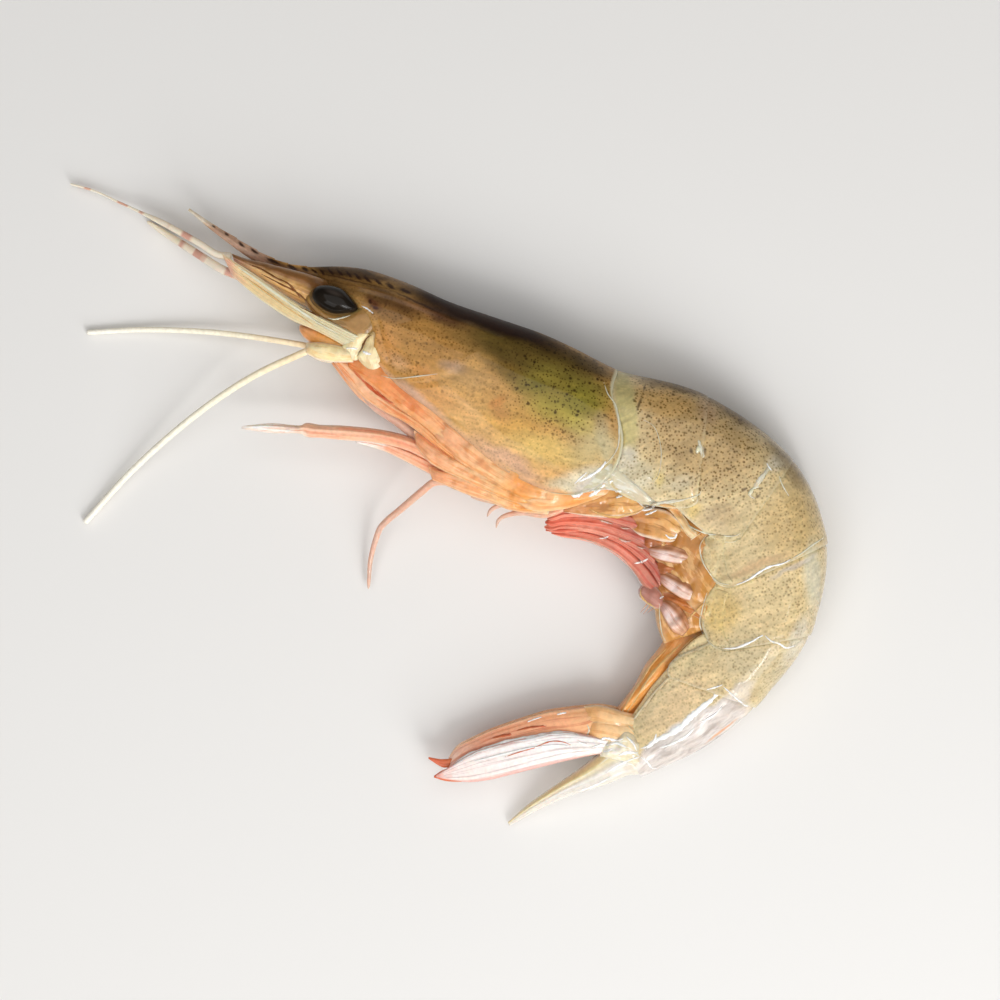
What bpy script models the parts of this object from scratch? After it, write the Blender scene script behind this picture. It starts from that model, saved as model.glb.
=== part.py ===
"""Raw head-on shrimp, 155 mm along its curled back, lying on its right side.

X runs to the right, Y up the page and Z up from the surface it lies on, so the left flank looks
along +Z. All sizes below are millimetres; the meshes are made in metres.

The animal is built the way it grew: one carapace that carries the rostrum, six shell segments
hinged in a row, a soft belly under them, a pointed telson, and a pair of each appendage. Every
solid is a loft, a bevelled curve or a sphere, read from a few measured places by functions.
"""
import math

import bmesh
import bpy
import numpy as np

MM = 0.001
GAP = 0.32                      # clearance between neighbouring pieces

# ---- the head: a straight axis tilted in the page, u forward from the back edge, v up ----------
HEAD_REAR = np.array((24.4, 18.9))          # back edge of the carapace on the midline
HEAD_TILT = math.radians(22.3)
FORWARD = np.array((-math.cos(HEAD_TILT), math.sin(HEAD_TILT)))
UPWARD = np.array((math.sin(HEAD_TILT), math.cos(HEAD_TILT)))
HEAD_HEIGHT = 7.45                          # of the midplane above the surface, at u = HEAD_REST
HEAD_REST = 8.0
HEAD_DROOP = 0.03                           # the nose sinks by this slope

CARAPACE_BACK = [(-6, 0.6), (0, 0.1), (7, 0.6), (12, 0.8), (19, 0.4), (26, 0.0), (32, 0.2), (38, -0.1)]
CARAPACE_EDGE = [(-6, -19.2), (4.6, -19.8), (10.3, -19.2), (16.4, -17.4), (22.3, -15.5),
                 (27.8, -14.1), (32, -12.4), (38, -11.0)]
CARAPACE_HALF_WIDTH = [(-6, 6.9), (0, 7.3), (8, 7.7), (20, 7.3), (30, 6.1), (38, 4.7)]
REAR_MARGIN = [(-1, 2.0), (-0.93, -0.8), (-0.68, -3.7), (-0.32, -4.9), (0.03, -4.4), (0.35, -2.6),
               (0.7, -0.3), (1, 0.0)]
FRONT_MARGIN = [(-1, 30.8), (-0.9, 32.8), (-0.6, 33.6), (-0.3, 34.2), (-0.05, 36.6), (0.25, 35.6),
                (0.6, 36.0), (1, 37.4)]

ROSTRUM_TOP = [(0, (-2.0, 29.4)), (0.5, (-7.2, 31.9)), (1, (-12.4, 33.3)), (2, (-21.0, 33.9)),
               (3, (-25.6, 35.3)), (4, (-31.7, 38.8)), (5, (-36.9, 42.2))]
ROSTRUM_KEEL = [(0, (-2.6, 27.8)), (1, (-12.6, 31.0)), (2, (-21.0, 32.6)), (3, (-26.2, 34.2)),
                (4, (-32.3, 38.3)), (5, (-37.1, 41.9))]
ROSTRUM_HALF_THICK = [(0, 1.3), (1, 0.9), (2, 0.75), (4, 0.5), (5, 0.15)]
ROSTRUM_TEETH = 9
TOOTH_PITCH = 4.2 / ROSTRUM_TEETH           # in the counts of the rostrum's keys
TOOTH_HEIGHT = 0.3
CARAPACE_WIDEST = -0.12                     # height of a section's widest place, -1 edge to 1 back
CARAPACE_INCURVE = 0.3                      # how far the flank has turned in at its lower edge
CARAPACE_SKIN = 0.9                         # thickness of the free lower margin
CARAPACE_ROOF = -0.86                       # height of the groove between the two lower margins

# ---- the abdomen: s counts the joints from the carapace, 0, to the telson, 6 --------------------
BACK = [(0, (24.7, 19.0)), (1, (37.0, 15.4)), (2, (49.3, 6.4)), (3, (54.3, -5.6)),
        (4, (52.0, -18.7)), (5, (44.3, -29.1)), (5.5, (36.7, -35.2)), (6, (27.9, -39.2)),
        (7, (20.0, -42.5))]
PLEURA_JOINTS = [(0, (23.7, 4.4)), (1, (35.4, 0.9)), (2, (41.6, -4.9)), (3, (41.1, -11.7)),
                 (4, (39.9, -20.9)), (5, (32.1, -24.9)), (6, (25.1, -32.9)), (7, (18.0, -37.0))]
PLEURA_LOBES = ((0.6, -2.7), (-2.7, -2.4), (-4.5, -1.2), (-4.8, 0.2), (-2.3, 1.7), (-0.3, 0.3))
ABDOMEN_HALF_WIDTH = [(0, 7.0), (1, 6.9), (2, 6.7), (3, 6.3), (4, 5.6), (5, 4.7), (6, 3.6), (7, 3.0)]
REST_SINK = 0.25                 # each piece that lies on the surface is flattened by this much
SHELL_WIDEST = 0.1               # height of a section's widest place, from -1 at its joint line to 1
SHELL_INCURVE = 0.15             # how far the flank has turned in at the joint line
SHELL_SKIN = 0.75                # thickness of a pleura
GROOVE_ROOF = [(0, -0.62), (4, -0.5), (5, -0.6), (6, -0.9), (7, -0.9)]
RIM = 0.3                        # a segment's back rim stands proud of the next segment
CARAPACE_COVER = 0.79            # the share of the carapace's back margin that segment 1 follows
COVER_GAP = 0.5                  # clearance behind that margin
GROOVE_TAPER = 0.6               # the groove's walls are thicker at its roof by this share

BELLY_KEEL = [(0.25, (23.4, 1.6)), (1, (31.0, -2.0)), (2, (33.4, -6.6)), (3, (32.4, -12.6)),
              (4, (31.0, -19.6)), (4.6, (28.3, -23.3)), (5, (26.9, -26.0)), (5.75, (24.3, -29.5))]
BELLY_KEEL_HALF = [(0.25, 1.0), (3, 1.3), (4.2, 1.3), (5, 2.0), (5.75, 1.6)]

# ---- pleopods: a thick base lobe and a thin blade swept forward to a common tip ----------------
PLEOPOD_PATHS = (
    ((29.3, -0.8), (25.9, -0.9), (22.3, -0.7), (20.1, -0.4), (18.1, -0.3)),
    ((34.4, -2.9), (30.9, -3.1), (27.1, -3.5), (23.6, -2.4), (20.7, -1.8), (18.0, -1.4)),
    ((35.2, -7.0), (32.7, -7.3), (29.7, -7.5), (26.1, -6.3), (23.3, -4.9), (19.9, -3.5),
     (14.5, -2.4)),
    ((35.4, -12.5), (33.5, -12.1), (31.0, -11.4), (27.7, -9.6), (24.7, -7.4), (20.4, -5.1),
     (14.6, -3.6)),
    ((33.0, -17.8), (31.8, -16.9), (30.1, -15.4), (28.8, -13.7), (28.4, -12.3)),
)
PLEOPOD_SPREAD = 3.45            # from the midplane to the middle of each side's pleopods
LOBE_HALF = (1.05, 1.3, 1.25, 1.2, 1.35)
BLADE_HALF = (0.4, 0.42, 0.45, 0.45, 0.9)

# ---- tail fan: (path, half extents in the page) of the leaves, outer then inner ----------------
UROPOD_PATHS = {
    "outer": ((24.0, -31.4), (20.3, -31.3), (16.1, -31.5), (12.1, -32.1), (8.1, -33.2),
              (4.1, -34.5), (1.5, -36.1)),
    "inner": ((23.3, -34.3), (19.9, -34.8), (16.1, -35.2), (12.1, -35.9), (8.1, -36.7),
              (4.1, -37.7), (-2.0, -38.6)),
}
UROPOD_FACE = {
    "outer": (1.3, 1.75, 1.35, 1.05, 0.85, 0.75, 0.2),
    "inner": (0.9, 1.2, 1.9, 2.2, 2.3, 1.9, 0.3),
}
UROPOD_DEPTH = (0.9, 1.6, 2.0, 2.1, 1.9, 1.4, 0.2)
TELSON_PATH = ((26.2, -37.1), (21.6, -39.0), (17.6, -40.7), (13.3, -43.3), (9.2, -46.2))
TELSON_FACE = (1.8, 1.9, 1.5, 0.9, 0.15)
TELSON_DEPTH = (2.3, 2.0, 1.5, 0.9, 0.15)

# ---- head appendages, as paths in the page ------------------------------------------------------
EYE_PLACE = (-15.7, 28.7)
EYE_HALF = (3.5, 2.1, 1.9)
EYE_TURN = math.radians(-22)
EYE_SPREAD = 4.5
STALK_PATH = ((-11.0, 29.2), (-12.0, 29.0))
PEDUNCLE_PATH = ((-11.0, 25.3), (-14.0, 26.8), (-18.6, 29.1), (-23.6, 31.4), (-28.2, 33.5))
PEDUNCLE_HALF = (1.5, 1.7, 1.6, 1.4, 1.0)
WHIP_PATHS = {
    "upper": ((-28.8, 33.7), (-32.0, 35.0), (-35.0, 36.5), (-38.0, 38.5), (-42.0, 40.8),
              (-47.3, 43.7), (-54.6, 46.0)),
    "lower": ((-28.7, 32.4), (-31.6, 33.2), (-34.9, 35.0), (-38.0, 37.2), (-41.7, 39.5),
              (-45.5, 41.8)),
}
SCALE_PATH = ((-12.4, 22.9), (-16.0, 24.2), (-21.0, 26.8), (-27.0, 30.7), (-32.4, 35.2))
SCALE_FACE = (0.9, 1.2, 1.25, 1.1, 0.2)
SCALE_DEPTH = (0.4, 0.8, 1.6, 1.6, 0.2)
SCALE_LIFT = (5.7, 5.6, 5.0, 4.8, 4.6)
ANTENNA_BASE_PATH = ((-11.2, 21.1), (-15.0, 21.6), (-19.0, 22.0))
ANTENNA_BASE_HALF = (1.5, 1.6, 1.1)
ANTENNA_PATHS = {
    "left": ((-19.4, 21.7, 9.7), (-28.1, 17.7, 7.4), (-36.7, 12.1, 4.2), (-45.3, 4.7, 1.6),
             (-52.4, -2.9, 0.5)),
    "right": ((-19.4, 22.3, 3.2), (-28.1, 23.6, 2.6), (-35.3, 24.5, 1.7), (-43.9, 25.0, 0.9),
              (-52.1, 24.7, 0.5)),
}

# each limb: path in the page, height above the midplane at its root and at its tip, thickness
LIMBS = {
    "maxilliped_left": (((1.4, 8.7), (-1.2, 10.6), (-4.2, 13.2), (-7.5, 16.0), (-11.3, 18.5),
                         (-14.9, 20.0)), 2.6, 0.9, 0.75),
    "leg_1_left": (((5.3, 5.4), (2.6, 6.4), (-2.1, 8.9), (-6.3, 11.7), (-9.9, 14.7),
                    (-13.3, 17.7)), 2.6, 2.6, 0.65),
    "leg_2_left": (((8.0, 3.4), (4.7, 3.6), (-1.0, 5.9), (-6.7, 8.1), (-13.9, 9.9), (-21.0, 10.4),
                    (-28.9, 10.7)), 2.6, 0.6, 0.75),
    "leg_3_left": (((11.1, 2.3), (7.6, 1.7), (3.3, 2.0), (-1.9, 3.3), (-6.0, 0.0), (-9.9, -3.4),
                    (-11.0, -8.4), (-11.3, -12.1)), 2.6, -6.0, 0.6),
    "leg_4_left": (((14.4, 0.9), (11.6, 0.4), (8.3, 0.1), (6.1, -0.4), (5.3, -1.4)), 2.6, 2.0, 0.65),
    "leg_5_left": (((17.0, -0.6), (14.4, -0.9), (11.1, -1.3), (8.7, -1.4), (7.6, -2.0),
                    (7.0, -3.1)), 2.6, 2.0, 0.65),
    "maxilliped_right": (((1.6, 7.4), (-1.6, 9.6), (-4.8, 12.3), (-8.1, 15.1), (-11.8, 17.8),
                          (-15.2, 19.6)), -2.6, -1.3, 0.65),
    "leg_1_right": (((4.8, 4.9), (2.0, 5.8), (-2.8, 8.3), (-7.0, 11.1), (-10.5, 14.0)),
                    -2.6, -2.6, 0.65),
    "leg_2_right": (((8.0, 3.0), (3.3, 2.9), (-1.7, 4.7), (-6.7, 6.9), (-13.1, 8.7), (-19.6, 9.4),
                     (-22.4, 9.9)), -2.6, -3.0, 0.7),
    "leg_3_right": (((11.1, 2.0), (7.6, 2.9), (3.0, 5.0), (-1.6, 7.9), (-5.3, 10.7), (-7.9, 13.0)),
                    -4.4, -4.4, 0.6),
    "leg_4_right": (((14.4, 0.6), (10.4, 0.9), (6.1, 1.9), (1.9, 3.0), (-1.0, 3.6)),
                    -4.4, -4.4, 0.6),
    "leg_5_right": (((17.0, -0.6), (14.0, -0.6), (9.7, -0.3), (5.4, 0.4), (3.3, 0.9)),
                    -4.4, -4.4, 0.5),
}

# ---- colours of the plain solids ------------------------------------------------------------------
FINISHES = {
    "shell": ((0.56, 0.41, 0.22), 0.3),
    "flesh": ((0.72, 0.40, 0.18), 0.35),
    "limb": ((0.86, 0.42, 0.24), 0.35),
    "whip": ((0.88, 0.74, 0.54), 0.4),
    "eye": ((0.02, 0.015, 0.01), 0.1),
}


# ---- reading curves ---------------------------------------------------------------------------------
def through(keys, x):
    """A smooth curve through (place, value) keys, read at x. A value is a number or a point."""
    places = [key[0] for key in keys]
    values = [np.array(key[1], dtype=float) for key in keys]
    last = len(keys) - 1
    x = min(max(x, places[0]), places[last])
    i = min(sum(place <= x for place in places) - 1, last - 1)

    def slope(k):
        before, after = max(k - 1, 0), min(k + 1, last)
        return (values[after] - values[before]) / (places[after] - places[before])

    span = places[i + 1] - places[i]
    t = (x - places[i]) / span
    blend = t * t * (3 - 2 * t)
    return (values[i] * (1 - blend) + values[i + 1] * blend
            + slope(i) * span * t * (1 - t) ** 2 - slope(i + 1) * span * t * t * (1 - t))


def along(points, t):
    """A smooth curve through evenly counted points or numbers, with t from 0 to 1."""
    return through(list(enumerate(points)), t * (len(points) - 1))


def ramp(t):
    """0 to 1 with level ends."""
    t = min(max(t, 0.0), 1.0)
    return t * t * (3 - 2 * t)


def unit(vector):
    return vector / np.linalg.norm(vector)


# ---- making objects ---------------------------------------------------------------------------------
def plain_material(finish):
    """The Principled material of a plain solid, made once."""
    if finish in bpy.data.materials:
        return bpy.data.materials[finish]
    colour, roughness = FINISHES[finish]
    material = bpy.data.materials.new(finish)
    material.use_nodes = True
    shader = material.node_tree.nodes["Principled BSDF"]
    shader.inputs["Base Color"].default_value = (*colour, 1.0)
    shader.inputs["Roughness"].default_value = roughness
    shader.inputs["Metallic"].default_value = 0.0
    return material


def add_object(name, data, finish, collection):
    """Put a mesh or a curve in the collection with a material of its own name."""
    material = plain_material(finish).copy()
    material.name = name
    data.materials.append(material)
    obj = bpy.data.objects.new(name, data)
    collection.objects.link(obj)
    return obj


def loft(name, rings, finish, collection):
    """A closed skin over rings of points in millimetres, each ring with the same even count.

    Point j of a ring faces point n - 1 - j across it, so each end closes like a ladder, also
    where the ring is a horseshoe. No point goes below the surface that the animal lies on.
    """
    mesh = bpy.data.meshes.new(name)
    bm = bmesh.new()
    rows = [[bm.verts.new((x * MM, y * MM, max(z, 0.0) * MM)) for x, y, z in ring] for ring in rings]
    count = len(rows[0])
    for row, after in zip(rows, rows[1:]):
        for j in range(count):
            k = (j + 1) % count
            bm.faces.new((row[j], row[k], after[k], after[j]))
    for row in (rows[0], rows[-1]):
        for j in range(count // 2 - 1):
            bm.faces.new((row[j], row[j + 1], row[count - 2 - j], row[count - 1 - j]))
    bmesh.ops.recalc_face_normals(bm, faces=bm.faces)
    bmesh.ops.triangulate(bm, faces=bm.faces, quad_method="SHORT_EDGE")
    bm.to_mesh(mesh)
    bm.free()
    mesh.shade_smooth()
    mesh.set_sharp_from_angle(angle=math.radians(50))
    return add_object(name, mesh, finish, collection)


def tube(name, points, radii, finish, collection):
    """A round limb: a poly curve with a bevel and a radius of its own at each point."""
    curve = bpy.data.curves.new(name, "CURVE")
    curve.dimensions = "3D"
    curve.bevel_depth = MM
    curve.bevel_resolution = 2
    curve.use_fill_caps = True
    spline = curve.splines.new("POLY")
    spline.points.add(len(points) - 1)
    for spot, (x, y, z), radius in zip(spline.points, points, radii):
        spot.co = (x * MM, y * MM, max(z, radius + 0.02) * MM, 1.0)
        spot.radius = radius
    return add_object(name, curve, finish, collection)


def oval_ring(centre, across, depth, sides):
    """An ellipse of points: across is a vector in the page, depth the half size along Z."""
    ring = []
    for k in range(sides):
        angle = 2 * math.pi * (k + 0.5) / sides
        flat = np.array((*across, 0.0)) * math.cos(angle)
        ring.append(centre + flat + np.array((0.0, 0.0, depth * math.sin(angle))))
    return ring


def page_normal(points, t, step=0.01):
    """The unit vector in the page square to a path at t."""
    run = along(points, min(t + step, 1)) - along(points, max(t - step, 0))
    run = unit(run[:2])
    return np.array((-run[1], run[0]))


def leaf_ring(centre, across, depth, thick, camber, strips=4):
    """A thin bowed section: across in the page and depth along Z give its slanted width."""
    width = np.array((*across, depth))
    face = unit(np.cross(width, np.array((across[1], -across[0], 0.0))))
    top, under = [], []
    for j in range(strips + 1):
        x = 2 * j / strips - 1
        bow = centre + width * x + face * camber * (1 - x * x)
        half = face * thick * (0.3 + 0.7 * math.sqrt(1 - x * x))
        top.append(bow + half)
        under.append(bow - half)
    return top + under[::-1]


# ---- the head -----------------------------------------------------------------------------------------
def head_height(u):
    """Height of the head's midplane above the surface."""
    return HEAD_HEIGHT - HEAD_DROOP * (u - HEAD_REST)


def height_at(x, y):
    """Height of the head's midplane at a place in the page."""
    return head_height(np.dot(np.array((x, y)) - HEAD_REAR, FORWARD))


def head_point(u, q):
    """The page place at u along the head and height q, from -1 at the edge to 1 at the back."""
    back, edge = through(CARAPACE_BACK, u), through(CARAPACE_EDGE, u)
    v = (back + edge) / 2 + q * (back - edge) / 2
    return HEAD_REAR + FORWARD * u + UPWARD * v


def girth(q, widest, incurve):
    """Half-width of a section at height q, as a share of its widest."""
    if q > widest:
        return math.sqrt(max(0.0, 1 - ((q - widest) / (1 - widest)) ** 2))
    return 1 - incurve * ((widest - q) / (1 + widest)) ** 2


def horseshoe(place, edge, roof, widest, incurve, skin, low=4, high=5):
    """The ring of a shell that is open below: over the outside, back along the groove.

    place(q, share, inset, spread) gives the point at height q and at a share of the half-width
    drawn in by inset, all times spread, which is negative on the right flank. edge is the height
    of the free edge and roof that of the groove.
    """
    outer, inner = [], []
    for k in range(low):
        t = k / low
        q = edge + (widest - edge) * t
        outer.append((q, girth(q, widest, incurve), 0.0, 1.0))
        q = edge + (roof - edge) * t
        inner.append((q, girth(q, widest, incurve), skin * (1 + GROOVE_TAPER * t), 1.0))
    corner = girth(roof, widest, incurve)
    for k in range(high + 1):
        angle = math.pi / 2 * k / high
        q = widest + (1 - widest) * math.sin(angle)
        outer.append((q, girth(q, widest, incurve), 0.0, 1.0))
        inner.append((roof + 0.06 * math.sin(angle), corner, skin * (1 + GROOVE_TAPER),
                      math.cos(angle)))
    ring = []
    for half in (outer, inner):
        near = [place(q, share, inset, spread) for q, share, inset, spread in half]
        far = [place(q, share, inset, -spread) for q, share, inset, spread in half[-2::-1]]
        ring.append(near + far)
    return ring[0] + ring[1][::-1]


def carapace_ring(t, low=4, high=6):
    """Ring t of the carapace, from its front margin, 0, to its back margin, 1."""
    def place(q, share, inset, spread):
        u = (1 - t) * through(FRONT_MARGIN, q) + t * through(REAR_MARGIN, q)
        x, y = head_point(u, q)
        reach = (through(CARAPACE_HALF_WIDTH, u) * share - inset) * spread
        return np.array((x, y, head_height(u) + reach))

    return horseshoe(place, -1.0, CARAPACE_ROOF, CARAPACE_WIDEST, CARAPACE_INCURVE,
                     CARAPACE_SKIN, low, high)


def rostrum_ring(t):
    """A section of the rostrum: a thin blade with a rib along each side and a toothed top."""
    top, keel = through(ROSTRUM_TOP, t), through(ROSTRUM_KEEL, t)
    saw = 1 - (t / TOOTH_PITCH) % 1.0
    tooth = TOOTH_HEIGHT * saw * ramp(t / 0.6) * ramp((4.4 - t) / 0.6)
    top = top + unit(top - keel) * tooth
    half = through(ROSTRUM_HALF_THICK, t)
    z = height_at(*((top + keel) / 2))
    ring = []
    for share, width in ((0.0, 0.12), (0.3, 0.5), (0.6, 1.0), (1.0, 0.35)):
        x, y = keel + (top - keel) * (1 - share)
        ring.append(np.array((x, y, z + half * width)))
    return ring + [np.array((x, y, 2 * z - high)) for x, y, high in ring[::-1]]


def make_carapace(collection):
    """The carapace with its flesh, and the rostrum joined to it."""
    shell = loft("carapace", [carapace_ring(k / 14) for k in range(15)], "shell", collection)
    notches = [k * TOOTH_PITCH for k in range(1, ROSTRUM_TEETH + 1)]
    stations = sorted([0.0, 4.6, 5.0] + notches + [notch - 0.08 for notch in notches])
    blade = loft("rostrum", [rostrum_ring(t) for t in stations], "shell", collection)
    join = shell.modifiers.new("rostrum", "BOOLEAN")
    join.operation = "UNION"
    join.object = blade
    bpy.context.view_layer.update()
    joined = bpy.data.meshes.new_from_object(shell.evaluated_get(bpy.context.evaluated_depsgraph_get()))
    shell.modifiers.clear()
    shell.data = joined
    joined.name = "carapace"
    bpy.data.objects.remove(blade)


# ---- the abdomen ----------------------------------------------------------------------------------------
def abdomen_height(s):
    """Height of the abdomen's midplane: each segment lies on the surface."""
    return through(ABDOMEN_HALF_WIDTH, s) - REST_SINK + 0.45 * ramp(1 - s)


def abdomen_place(s, q):
    """The page place at joint count s and height q, before the lobes."""
    back, joint = through(BACK, s), through(PLEURA_JOINTS, s)
    place = joint + (back - joint) * (q + 1) / 2
    if s < 1:
        beside = 1 - (1 - q) * CARAPACE_COVER
        margin = head_point(through(REAR_MARGIN, beside) - COVER_GAP, beside)
        first = through(PLEURA_JOINTS, 0) * (1 - q) / 2 + through(BACK, 0) * (1 + q) / 2
        place = place + (margin - first) * (1 - s)
    return place


def lobe_edge(index, t):
    """Height q of a pleura's free edge, t from the segment's front to its back."""
    s = index + t
    height = np.linalg.norm(through(BACK, s) - through(PLEURA_JOINTS, s))
    round_off = math.sqrt(max(0.0, 1 - (2 * t - 1) ** 2))
    return -1 - 2 * np.linalg.norm(PLEURA_LOBES[index]) * round_off / height


def segment_place(index, s, q):
    """The page place in a segment: below its joint line the flank follows its lobe."""
    if q >= -1:
        return abdomen_place(s, q)
    back, joint = abdomen_place(s, 1), abdomen_place(s, -1)
    below = (-1 - q) / 2 * np.linalg.norm(back - joint)
    return joint + unit(np.array(PLEURA_LOBES[index])) * below


def segment_ring(index, t, low=4, high=5):
    """Ring t of a segment, 0 at its front and 1 at its back rim."""
    edge = lobe_edge(index, t)
    rim = RIM * (ramp((t - 0.72) / 0.22) - 0.8 * ramp((0.2 - t) / 0.2))

    def place(q, share, inset, spread):
        ends = [abdomen_place(index + end, max(q, -1.0)) for end in (0.0, 1.0)]
        trim = GAP / 2 / np.linalg.norm(ends[1] - ends[0])
        s = index + trim + (1 - 2 * trim) * t
        back, joint = abdomen_place(s, 1), abdomen_place(s, -1)
        x, y = segment_place(index, s, q) + unit(back - joint) * rim * max(q, 0.0)
        reach = ((through(ABDOMEN_HALF_WIDTH, s) + rim) * share - inset) * spread
        return np.array((x, y, abdomen_height(s) + reach))

    roof = through(GROOVE_ROOF, index + t)
    return horseshoe(place, edge, roof, SHELL_WIDEST, SHELL_INCURVE, SHELL_SKIN, low, high)


def segment_stations(count):
    """Ring places that crowd towards both rims, where the lobe turns fastest."""
    return [(1 - math.cos(math.pi * k / count)) / 2 for k in range(count + 1)]


def make_segments(collection):
    for index in range(6):
        rings = [segment_ring(index, t) for t in segment_stations(6)]
        loft(f"segment_{index + 1}", rings, "shell", collection)


def belly_ring(s):
    """A section of the soft belly: a wide root in the groove and a narrow keel."""
    roof_q = through(GROOVE_ROOF, s)
    root = abdomen_place(s, roof_q - 0.1)
    keel = through(BELLY_KEEL, s)
    half_root = 0.42 * through(ABDOMEN_HALF_WIDTH, s)
    half_keel = through(BELLY_KEEL_HALF, s)
    z = abdomen_height(s)
    ring = []
    for share, half in ((0.0, 0.7 * half_root), (0.15, half_root), (0.4, half_root),
                        (0.6, half_keel), (0.9, half_keel), (1.0, 0.6 * half_keel)):
        x, y = root + (keel - root) * share
        ring.append(np.array((x, y, z + half)))
    return ring + [np.array((x, y, 2 * z - high)) for x, y, high in ring[::-1]]


def make_belly(collection):
    stations = 20
    start, end = BELLY_KEEL[0][0], BELLY_KEEL[-1][0]
    rings = [belly_ring(start + (end - start) * k / stations) for k in range(stations + 1)]
    loft("belly", rings, "flesh", collection)


def make_telson(collection):
    rings = []
    for k in range(9):
        t = k / 8
        x, y = along(TELSON_PATH, t)
        across = page_normal(TELSON_PATH, t) * along(TELSON_FACE, t)
        centre = np.array((x, y, abdomen_height(6 + 0.4 * t)))
        rings.append(oval_ring(centre, across, along(TELSON_DEPTH, t), 10))
    loft("telson", rings, "shell", collection)


# ---- appendages --------------------------------------------------------------------------------
def make_pleopod(number, side, collection):
    """A swimmeret: a rounded lobe at the belly that thins to a long blade."""
    path = PLEOPOD_PATHS[number]
    middle = abdomen_height(number + 0.6)
    stations = 12
    rings = []
    for k in range(stations + 1):
        t = k / stations
        x, y = along(path, t)
        lobe_share = 2.0 / (len(path) - 1)
        lobe = math.sqrt(max(0.0, 1 - (2 * min(t / (lobe_share * 1.12), 1) - 1) ** 2))
        face = max(LOBE_HALF[number] * lobe, BLADE_HALF[number] * (1 - 0.5 * t ** 5))
        depth = 1.0 + 0.5 * lobe - 0.5 * ramp((t - 0.7) / 0.3)
        across = page_normal(path, t) * face
        centre = np.array((x, y, middle + side * PLEOPOD_SPREAD))
        rings.append(oval_ring(centre, across, depth, 8))
    suffix = "left" if side > 0 else "right"
    loft(f"pleopod_{number + 1}_{suffix}", rings, "limb", collection)


def make_uropod(kind, side, collection):
    """A leaf of the tail fan. The right side's leaves are pressed flatter by the surface."""
    path, face = UROPOD_PATHS[kind], UROPOD_FACE[kind]
    spread, squeeze = (2.4, 1.0) if side > 0 else (-1.75, 0.6)
    rings = []
    for k in range(13):
        t = k / 12
        x, y = along(path, t)
        centre = np.array((x, y, abdomen_height(6) + spread))
        across = page_normal(path, t) * along(face, t)
        depth = side * along(UROPOD_DEPTH, t) * squeeze
        rings.append(leaf_ring(centre, across, depth, 0.3 + 0.3 * ramp(1 - 4 * t), side * 0.25))
    suffix = "left" if side > 0 else "right"
    loft(f"uropod_{kind}_{suffix}", rings, "limb", collection)


def make_eye(side, collection):
    """The black eye on its short stalk."""
    suffix = "left" if side > 0 else "right"
    lift = EYE_SPREAD if side > 0 else EYE_SPREAD - 0.3
    x, y = EYE_PLACE
    z = height_at(x, y) + side * lift
    bpy.ops.mesh.primitive_uv_sphere_add(segments=14, ring_count=9, radius=MM,
                                         location=(x * MM, y * MM, z * MM),
                                         rotation=(0, 0, EYE_TURN))
    eye = bpy.context.active_object
    eye.name = f"eye_{suffix}"
    eye.scale = EYE_HALF
    eye.data.materials.append(plain_material("eye").copy())
    eye.data.shade_smooth()
    for old in list(eye.users_collection):
        old.objects.unlink(eye)
    collection.objects.link(eye)
    rings = []
    for (x, y), half in zip(STALK_PATH, (1.0, 1.1)):
        centre = np.array((x, y, height_at(x, y) + side * (lift - 0.6)))
        rings.append(oval_ring(centre, page_normal(STALK_PATH, 0.5) * half * 1.2, half, 10))
    loft(f"eyestalk_{suffix}", rings, "flesh", collection)


def make_antennule(side, collection):
    """The first antenna: a stout three-part stem and two banded whips."""
    suffix = "left" if side > 0 else "right"
    rings = []
    for k in range(13):
        t = k / 12
        x, y = along(PEDUNCLE_PATH, t)
        pinch = 1 - 0.12 * math.exp(-((t - 0.45) / 0.04) ** 2) - 0.12 * math.exp(-((t - 0.75) / 0.04) ** 2)
        across = page_normal(PEDUNCLE_PATH, t) * along(PEDUNCLE_HALF, t) * pinch
        centre = np.array((x, y, height_at(x, y) + side * 1.25))
        rings.append(oval_ring(centre, across, min(1.0, along(PEDUNCLE_HALF, t)) * pinch, 8))
    loft(f"antennule_{suffix}", rings, "limb", collection)
    for kind, path in WHIP_PATHS.items():
        count = 12
        points, radii = [], []
        for k in range(count + 1):
            t = k / count
            x, y = along(path, t)
            low = 1.5 if side > 0 else 0.5
            z = (height_at(x, y) + side * 1.2) * (1 - ramp(t)) + low * ramp(t)
            points.append((x, y, z))
            radii.append(0.44 - 0.27 * t)
        tube(f"antennule_whip_{kind}_{suffix}", points, radii, "whip", collection)


def make_antenna(side, collection):
    """The second antenna: its stem, its leaf-shaped scale and its long whip, broken short."""
    suffix = "left" if side > 0 else "right"
    rings = []
    for k in range(9):
        t = k / 8
        x, y = along(ANTENNA_BASE_PATH, t)
        half = along(ANTENNA_BASE_HALF, t) * (1 - 0.12 * math.exp(-((t - 0.45) / 0.07) ** 2))
        centre = np.array((x, y, height_at(x, y) + side * 3.4))
        rings.append(oval_ring(centre, page_normal(ANTENNA_BASE_PATH, t) * half, half * 0.9, 10))
    loft(f"antenna_base_{suffix}", rings, "limb", collection)
    rings = []
    for k in range(13):
        t = k / 12
        x, y = along(SCALE_PATH, t)
        lift = along(SCALE_LIFT, t)
        centre = np.array((x, y, height_at(x, y) + side * lift))
        across = page_normal(SCALE_PATH, t) * along(SCALE_FACE, t)
        rings.append(leaf_ring(centre, across, -side * along(SCALE_DEPTH, t), 0.28, side * 0.2))
    loft(f"antennal_scale_{suffix}", rings, "limb", collection)
    count = 18
    path = ANTENNA_PATHS[suffix]
    points = [tuple(along(path, k / count)) for k in range(count + 1)]
    radii = [0.48 - 0.08 * k / count for k in range(count)] + [0.2]
    tube(f"antenna_whip_{suffix}", points, radii, "whip", collection)


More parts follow.
